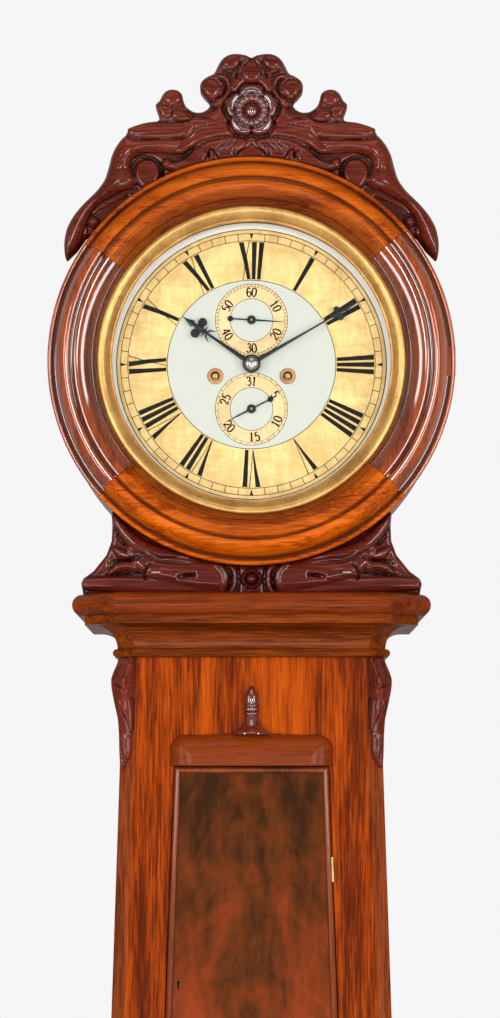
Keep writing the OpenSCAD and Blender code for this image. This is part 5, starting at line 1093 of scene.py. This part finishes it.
carve("door_cap_pillow", CAP_EDGE, draw_cap, step=1.4, y_ground=TRUNK_Y, y_back=TRUNK_Y, edge_r=1.2,
      least=0.0, soften=0.4, mats=M["cap"], body="case", slot="mahogany", replaces=["door_cap"])
acorn = smooth([(21.5, 1259), (20.6, 1262), (16.6, 1265), (13.0, 1268.6), (10.6, 1273), (8.6, 1278),
                (7.4, 1281.6)], 4).tolist()
acorn += arc(8.4, 1284, 2.0, 1.8, -90, 90, 6) + [(7.6, 1286.2)]
acorn += arc(8.2, 1289.4, 1.8, 2.6, -80, 80, 6) + [(8.6, 1292.4)] + arc(8.4, 1294, 1.9, 1.5, -70, 80, 5)
acorn += smooth([(7.9, 1295.9), (8.4, 1298.5), (8.3, 1302), (7.2, 1307), (5.0, 1312), (2.6, 1315.8),
                 (0.9, 1317.6), (0.05, 1318)], 3).tolist()
make("door_cap_acorn", *turned_z(acorn, 0, TRUNK_Y - 7), M["gloss"], "case", slot="dark_mahogany",
     replaces=["door_cap"], sharp=50)

# Gut lines

GUT_R = 0.9
KNOT_R = 5.5


def twisted(path):
    """Gut of three strands along a path in the XZ plane."""
    path = np.asarray(path, float)
    far = np.concatenate([[0], np.cumsum(np.linalg.norm(np.diff(path, axis=0), axis=1))])
    verts, sides = [], 10
    for q, (dx, dz), s in zip(path, directions(path[:, [0, 2]]), far):
        for a in 2 * math.pi * np.arange(sides) / sides:
            r = 0.84 + 0.06 * math.cos(3 * a - s * 0.9)
            verts.append((q[0] - dz * r * math.cos(a), q[1] + r * math.sin(a), q[2] + dx * r * math.cos(a)))
    return verts, skin(len(path), sides)


seat_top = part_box("seatboard")[1].z / MM
for node, weight in (("time_line", "time_weight"), ("strike_line", "strike_weight")):
    lo, hi = (np.array(c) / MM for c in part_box(node))
    way = 1 if lo[0] > 0 else -1
    loop_r = (hi[0] - lo[0] - GUT_R - KNOT_R) / 2
    fall_x = hi[0] - GUT_R if way > 0 else lo[0] + GUT_R
    stay_x = fall_x - 2 * way * loop_r
    y, foot_z = (lo[1] + hi[1]) / 2, lo[2] + loop_r + GUT_R
    middle_x = (fall_x + stay_x) / 2
    # Each line runs down from the barrel and up to the seatboard. The two halves meet under the pulley
    for word, x, start, count, top in (("fall", fall_x, hi[2], 160, hi[2]),
                                       ("stay", stay_x, seat_top + 8, 100, seat_top)):
        turn = np.linspace(0 if word == "fall" else math.pi, math.pi / 2, 20)[1:]
        path = [(x, y, z) for z in np.linspace(start, foot_z, count)]
        path += [(middle_x + way * loop_r * math.cos(a), y, foot_z - loop_r * math.sin(a)) for a in turn]
        b = Build()
        b.add(*twisted(path))
        if word == "stay":
            knot = [(5.2 * math.cos(t) * (1 + 0.05 * math.cos(9 * i)), seat_top + 5.4 + 5.2 * math.sin(t))
                    for i, t in enumerate(np.linspace(-1.5, 1.5, 15))]
            b.add(*turned_z(knot, stay_x, y, 20))
        line = b.done(f"{node}_{word}", M["gut"], None, slot="gut", replaces=[node])
        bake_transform(line)

# The dial's printing

GOLD_Y = DIAL_Y - 0.02
INK_Y = GOLD_Y - 0.09
SUBDIAL_Z = 54  # how far the subdials' middles are above and below the dial's

make("chapter_ring_gold", *ring_strip(102.5, 164.0, 0, GOLD_Y, 240), M["chapter"], "case", slot="gilding")
b = Build()
for cz in (SUBDIAL_Z, -SUBDIAL_Z):
    b.add(*ring_strip(26.0, 44.2, cz, GOLD_Y - 0.02, 120))
b.done("subdial_gold", M["subdial"], "case", slot="gilding")


def polar(theta, r, cz=0.0):
    """A point at an angle clockwise from twelve."""
    return (r * math.sin(theta), DRUM_Z + cz + r * math.cos(theta))


def tick(a, da, r0, r1, cz=0.0):
    return flat([polar(a + s * da, r, cz) for s, r in ((-1, r0), (1, r0), (1, r1), (-1, r1))], INK_Y)


ink = Build()
for r, w in ((163.9, 1.0), (159.0, 0.8), (150.3, 0.8), (102.4, 0.8)):
    ink.add(*ring_strip(r - w / 2, r + w / 2, 0, INK_Y, 240))
for i in range(60):
    a, da = math.radians(6 * i), 2.1 / 159
    if i % 5:
        ink.add(*tick(a, 0.42 / 154, 150.3, 159))
    else:
        ink.add(*flat([polar(a - da, 158.8), polar(a, 151.4), polar(a + da, 158.8)], INK_Y))

THICK, THIN, GAP, SERIF, WIDE = 5.4, 1.0, 2.5, 0.55, 12.5
TALL, BASE, ROMAN_R = 45.4, 103.7, 131.0


def numeral_shapes(text):
    """Quads in a numeral's own frame: u to the right, v from the foot (0) to the head (TALL)."""
    shapes, u = [], 0.0

    def stem(a, b, c, d):
        shapes.append([(u + a, TALL), (u + b, TALL), (u + c, 0), (u + d, 0)])

    def serif(a, b, foot=False):
        v = 0 if foot else TALL - SERIF
        shapes.append([(u + a, v), (u + b, v), (u + b, v + SERIF), (u + a, v + SERIF)])

    for ch in text:
        if ch == "I":
            stem(0, THICK, THICK, 0)
            serif(-0.9, THICK + 0.9, foot=True)
            serif(-0.9, THICK + 0.9)
            u += THICK + GAP
            continue
        if ch == "V":
            stem(0, THICK, WIDE / 2 + 1.9, WIDE / 2 + 0.6)
            stem(WIDE - THIN, WIDE, WIDE / 2 + 1.9, WIDE / 2 + 1.1)
            serif(WIDE - 2.2, WIDE + 1.2)
        else:
            stem(0, THICK, WIDE, WIDE - THICK)
            stem(WIDE - THIN - 0.6, WIDE - 0.6, THIN + 0.6, 0.6)
            serif(-0.6, 2.4, foot=True)
            serif(WIDE - THICK - 0.9, WIDE + 0.9, foot=True)
            serif(WIDE - 2.4, WIDE + 0.9)
        serif(-0.9, THICK + 0.9)
        u += WIDE + GAP * 0.7
    ends = [p[0] for s in shapes for p in s]
    middle = (max(ends) + min(ends)) / 2
    return [[(u - middle, v) for u, v in s] for s in shapes]


for hour, text in enumerate(("XII", "I", "II", "III", "IIII", "V", "VI", "VII", "VIII", "IX", "X", "XI")):
    for shape in numeral_shapes(text):
        pts = []
        for (u, v), (u2, v2) in zip(shape, shape[1:] + shape[:1]):
            for t in (0, 0.5):
                theta = math.radians(30 * hour) + (u + (u2 - u) * t) / ROMAN_R
                pts.append(polar(theta, BASE + v + (v2 - v) * t))
        ink.add(*flat(pts, INK_Y - 0.01 * (hour % 2)))

GLYPHS = {
    "0": [[(0.5, 1), (0.2, 0.82), (0.13, 0.5), (0.2, 0.18), (0.5, 0), (0.8, 0.18), (0.87, 0.5), (0.8, 0.82),
           (0.5, 1)]],
    "1": [[(0.28, 0.8), (0.5, 0.98)], [(0.5, 1), (0.5, 0)], [(0.26, 0.02), (0.74, 0.02)]],
    "2": [[(0.2, 0.72), (0.28, 0.93), (0.55, 1), (0.8, 0.82), (0.74, 0.56), (0.4, 0.26), (0.14, 0.03)],
          [(0.14, 0.04), (0.5, 0.06), (0.88, 0.04)]],
    "3": [[(0.2, 0.84), (0.42, 1), (0.72, 0.9), (0.72, 0.66), (0.45, 0.54)],
          [(0.45, 0.54), (0.8, 0.44), (0.84, 0.16), (0.5, 0), (0.17, 0.14)]],
    "4": [[(0.66, 1), (0.66, 0)], [(0.66, 1), (0.08, 0.3)], [(0.06, 0.3), (0.92, 0.3)]],
    "5": [[(0.8, 0.97), (0.3, 0.97)], [(0.3, 0.97), (0.22, 0.52)],
          [(0.22, 0.52), (0.5, 0.62), (0.82, 0.46), (0.82, 0.14), (0.5, 0), (0.17, 0.12)]],
    "6": [[(0.8, 0.86), (0.56, 1), (0.28, 0.8), (0.15, 0.42), (0.28, 0.08), (0.55, 0), (0.84, 0.16),
           (0.84, 0.44), (0.55, 0.58), (0.22, 0.44)]],
}


def pen(points, place):
    """A stroke drawn with a flat nib, thick where it runs up and down: a thin solid and its faces."""
    line = smooth(points, 5) if len(points) > 2 else np.asarray(points, float)
    d = directions(line)
    side = across(d) * (0.06 + 0.09 * np.abs(d[:, 1:]) ** 1.6)
    outline = [place(u, v) for u, v in np.concatenate([line + side, (line - side)[::-1]])]
    n, m, y = len(line), len(outline), INK_Y - 0.03
    faces = []
    for i in range(n - 1):
        faces.append((i, i + 1, m - 2 - i, m - 1 - i))
        faces.append((m + m - 1 - i, m + m - 2 - i, m + i + 1, m + i))
    faces += [(i, (i + 1) % m, m + (i + 1) % m, m + i) for i in range(m)]
    return [(a, yy, c) for yy in (y, y - LEAF_T) for a, c in outline], faces


def write_number(text, cz, theta, flip):
    """Digits round a subdial, their feet towards its middle, or outward where flip is set."""
    r_foot, height = 28.6, 10.6
    wide = height * 0.62
    for i, ch in enumerate(text):
        def place(u, v):
            x, w = (i + u) * wide - wide * len(text) / 2, v * height
            if flip:
                x, w = -x, height - w
            return polar(theta + x / (r_foot + height / 2), r_foot + w, cz)

        for stroke in GLYPHS[ch]:
            ink.add(*pen(stroke, place))


for i in range(6):
    write_number(str(10 * i or 60), SUBDIAL_Z, math.radians(60 * i), 2 <= i <= 4)
for day in (0, 5, 10, 15, 20, 25):
    write_number(str(day or 31), -SUBDIAL_Z, 2 * math.pi * day / 31, 10 <= day <= 20)
for cz, count in ((SUBDIAL_Z, 60), (-SUBDIAL_Z, 31)):
    for r, w in ((43.9, 0.6), (40.6, 0.4), (26.0, 0.6)):
        ink.add(*ring_strip(r - w / 2, r + w / 2, cz, INK_Y, 96))
    for i in range(count):
        inner = 38.6 if count == 60 and i % 10 == 5 else 40.6
        ink.add(*tick(2 * math.pi * i / count, 0.3 / 42, inner, 43.9, cz))
ink.done("dial_printing", M["ink"], "case", slot="painted_dial")

# The hands


class Hand(Build):
    """A hand of flat forged parts, placed by (distance, offset) from its arbor. Its theta is clockwise."""

    def __init__(self, theta, cz, y, thick):
        super().__init__()
        self.sin, self.cos = math.sin(math.radians(theta)), math.cos(math.radians(theta))
        self.z, self.y, self.thick = DRUM_Z + cz, y, thick

    def at(self, d, w):
        return d * self.sin + w * self.cos, self.z + d * self.cos - w * self.sin

    def blade(self, stations, round_r=0.25):
        """stations of (distance, half-width) from the tail to the tip."""
        pts = stations + [(d, -w) for d, w in reversed(stations) if w > 1e-6]
        self.add(*plate([self.at(*p) for p in pts], self.y - self.thick, self.y, round_r))

    def disc(self, d, w, r, y=0.0, thick=0.0, n=36, mat=0):
        """A round with an eased edge. Its y and thick are added to the hand's own."""
        y, thick = self.y + y, self.thick + thick
        prof = [(0.01, y), (r, y), (r, y - thick + 0.35), (r - 0.35, y - thick), (0.01, y - thick)]
        self.add(*lathe(prof, n, *self.at(d, w)), mat)

    def barb(self, points, inset, w0, w1):
        """A curved hook, tapering from w0 to w1 and thinner than the hand by inset on both faces."""
        line = smooth(points, 6)
        side = across(directions(line)) * np.linspace(w0, w1, len(line))[:, None] / 2
        pts = [self.at(*p) for p in np.concatenate([line + side, (line - side)[::-1]])]
        self.add(*plate(pts, self.y + inset - self.thick, self.y - inset))

    def turned(self, profile, n=64, mat=0):
        """A profile of (radius, y from the hand's back) turned about the arbor."""
        self.add(*lathe([(r, self.y + y) for r, y in profile], n), mat)


hour = Hand(304.5, cz=0, y=-59.1, thick=1.3)
hour.blade([(6, 3.2), (20, 2.6), (45, 1.9), (66, 1.3), (72, 2.2)])
for side in (1, -1):
    hour.disc(77.5, 8.0 * side, 5.4)
hour.blade([(70, 1.4), (73, 4.2), (78, 4.6), (82, 2.6), (85, 1.8), (87, 4.4), (90, 3.2), (96, 1.1),
    (103, 0.0)])
for side in (1, -1):
    hour.barb([(66, 1.5 * side), (64.5, 4.4 * side), (61, 6.6 * side), (58, 7.6 * side)], 0.02, 2.4, 0.5)
    hour.barb([(68, 1.0 * side), (69.5, 4.2 * side), (69, 7.2 * side)], 0.01, 2.2, 0.6)
hour.turned([(5.6, 0), (10.2, 0), (10.2, -1.3), (5.6, -1.3)])
hour.done("hour_hand_forged", M["steel"], "hour_pipe", slot="blued_steel", replaces=["hour_hand"])

minute = Hand(60, cz=0, y=-63.1, thick=1.2)
minute.blade([(6, 2.9), (20, 2.4), (70, 1.3), (108, 0.9), (116, 0.9)])
for side in (1, -1):
    minute.disc(122, 5.6 * side, 3.6)
minute.blade([(113, 0.8), (117, 2.6), (122, 3.2), (126, 1.8), (129, 1.2), (131, 3.0), (134, 2.1), (142, 0.9),
              (157, 0.0)])
for side in (1, -1):
    minute.barb([(115, 0.8 * side), (113, 3.0 * side), (110.5, 4.6 * side)], 0.02, 1.6, 0.4)
minute.turned([(3.2, 0), (10.6, 0), (11.0, -0.5), (11.0, -1.4), (9.2, -2.4), (3.2, -2.4)])
# The nut that holds the hands, and the arbor's end in it
minute.turned([(0.01, -6.9), *arc(0, -2.2, 8.4, -4.7, 84, 10, 9), (8.6, -2.3), (0.01, -2.2)], mat=1)
minute.turned([(0.01, -6.9), (1.6, -6.9), (1.9, -6.5), (1.9, -2.9), (0.01, -2.9)], 24, mat=1)
minute.done("minute_hand_forged", [M["steel"], M["silver"]], "minute_arbor", slot="blued_steel",
            replaces=["minute_hand"])


def small_hand(node, cz, theta, front, body):
    tail = 25.8
    hand = Hand(theta, cz, y=-56.9, thick=0.7)
    hand.blade([(-tail, 0.75), (-6, 0.9), (6, 1.1), (front * 0.55, 0.75), (front, 0.2)], 0.15)
    hand.disc(-tail, 0, 3.5)
    hand.disc(0, 0, 5.4, thick=0.5)
    hand.disc(0, 0, 1.7, y=-0.6, thick=0.2, n=20, mat=1)
    hand.done(f"{node}_forged", [M["steel"], M["brass"]], body, slot="blued_steel", replaces=[node])


small_hand("seconds_hand", SUBDIAL_Z, 93.5, 39.5, "escape_arbor")
small_hand("date_hand", -SUBDIAL_Z, 243, 37, "date_arbor")

# Stage, light and camera

size, z = 6, -0.001
me = bpy.data.meshes.new("floor")
me.from_pydata([(-size, -size, z), (size, -size, z), (size, size, z), (-size, size, z)], [], [(0, 1, 2, 3)])
floor = bpy.data.objects.new("floor", me)
SCENE.collection.objects.link(floor)
g = Graph("floor")
g.base(g.mix(g.noise(g.coords(), 3.0), lin(238, 238, 238), lin(232, 232, 232)))
g.set(Roughness=0.7)
me.materials.append(g.owner)
floor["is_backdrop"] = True

# The pale backdrop stands behind the clock, and the studio in front of it is dim
SCENE.world = bpy.data.worlds.new("studio")
g = Graph("studio", SCENE.world)
ray = g.add("ShaderNodeLightPath").outputs
where = g.add("ShaderNodeMapRange", interpolation_type="SMOOTHSTEP", From_Min=-0.25, From_Max=0.45,
              To_Min=0.08, To_Max=0.4)
direction = g.add("ShaderNodeTexCoord").outputs["Generated"]
g.link(g.split("ShaderNodeSeparateXYZ", direction)[1], where.inputs["Value"])
mirrored_part = g.times(g.sum(ray["Is Glossy Ray"], ray["Is Transmission Ray"]), where.outputs[0])
share = g.math("ADD", ray["Is Camera Ray"], mirrored_part, clamp=True)
back = g.tree.nodes["Background"]
g.link(g.mix(share, (0.20, 0.20, 0.205, 1), lin(246, 246, 246)), back.inputs["Color"])
back.inputs["Strength"].default_value = 1.0


def box_light(name, at, towards_z, size, power):
    """A lamp that faces the clock at the height towards_z."""
    data = bpy.data.lights.new(name, "AREA")
    data.shape = "RECTANGLE"
    data.size, data.size_y = size
    data.energy = power
    o = bpy.data.objects.new(name, data)
    o.location = at
    o.rotation_euler = (Vector((0, -0.05, towards_z)) - Vector(at)).to_track_quat("-Z", "Y").to_euler()
    SCENE.collection.objects.link(o)


for side in (-1, 1):
    box_light("strip", (side * 1.75, -1.7, 1.6), 1.5, (0.36, 1.9), 18)
    box_light("soft_box", (side * 1.2, -3.9, 1.7), 1.5, (0.7, 1.3), 48)
box_light("soft_top", (0, -1.8, 3.6), 1.5, (1.6, 1.0), 8)
box_light("soft_low", (0, -3.2, 0.35), 1.0, (1.6, 0.5), 16)

cam = bpy.data.cameras.new("camera")
cam.lens, cam.sensor_width = 106.1, 36
cam.shift_x, cam.shift_y = -0.00147, 0.28585
cam.clip_start, cam.clip_end = 0.05, 100
eye = bpy.data.objects.new("camera", cam)
eye.location = (0, -3.7, 1.18)
eye.rotation_euler = (math.radians(90), 0, 0)
SCENE.collection.objects.link(eye)
SCENE.camera = eye
SCENE.view_settings.view_transform = "Standard"

lo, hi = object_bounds()
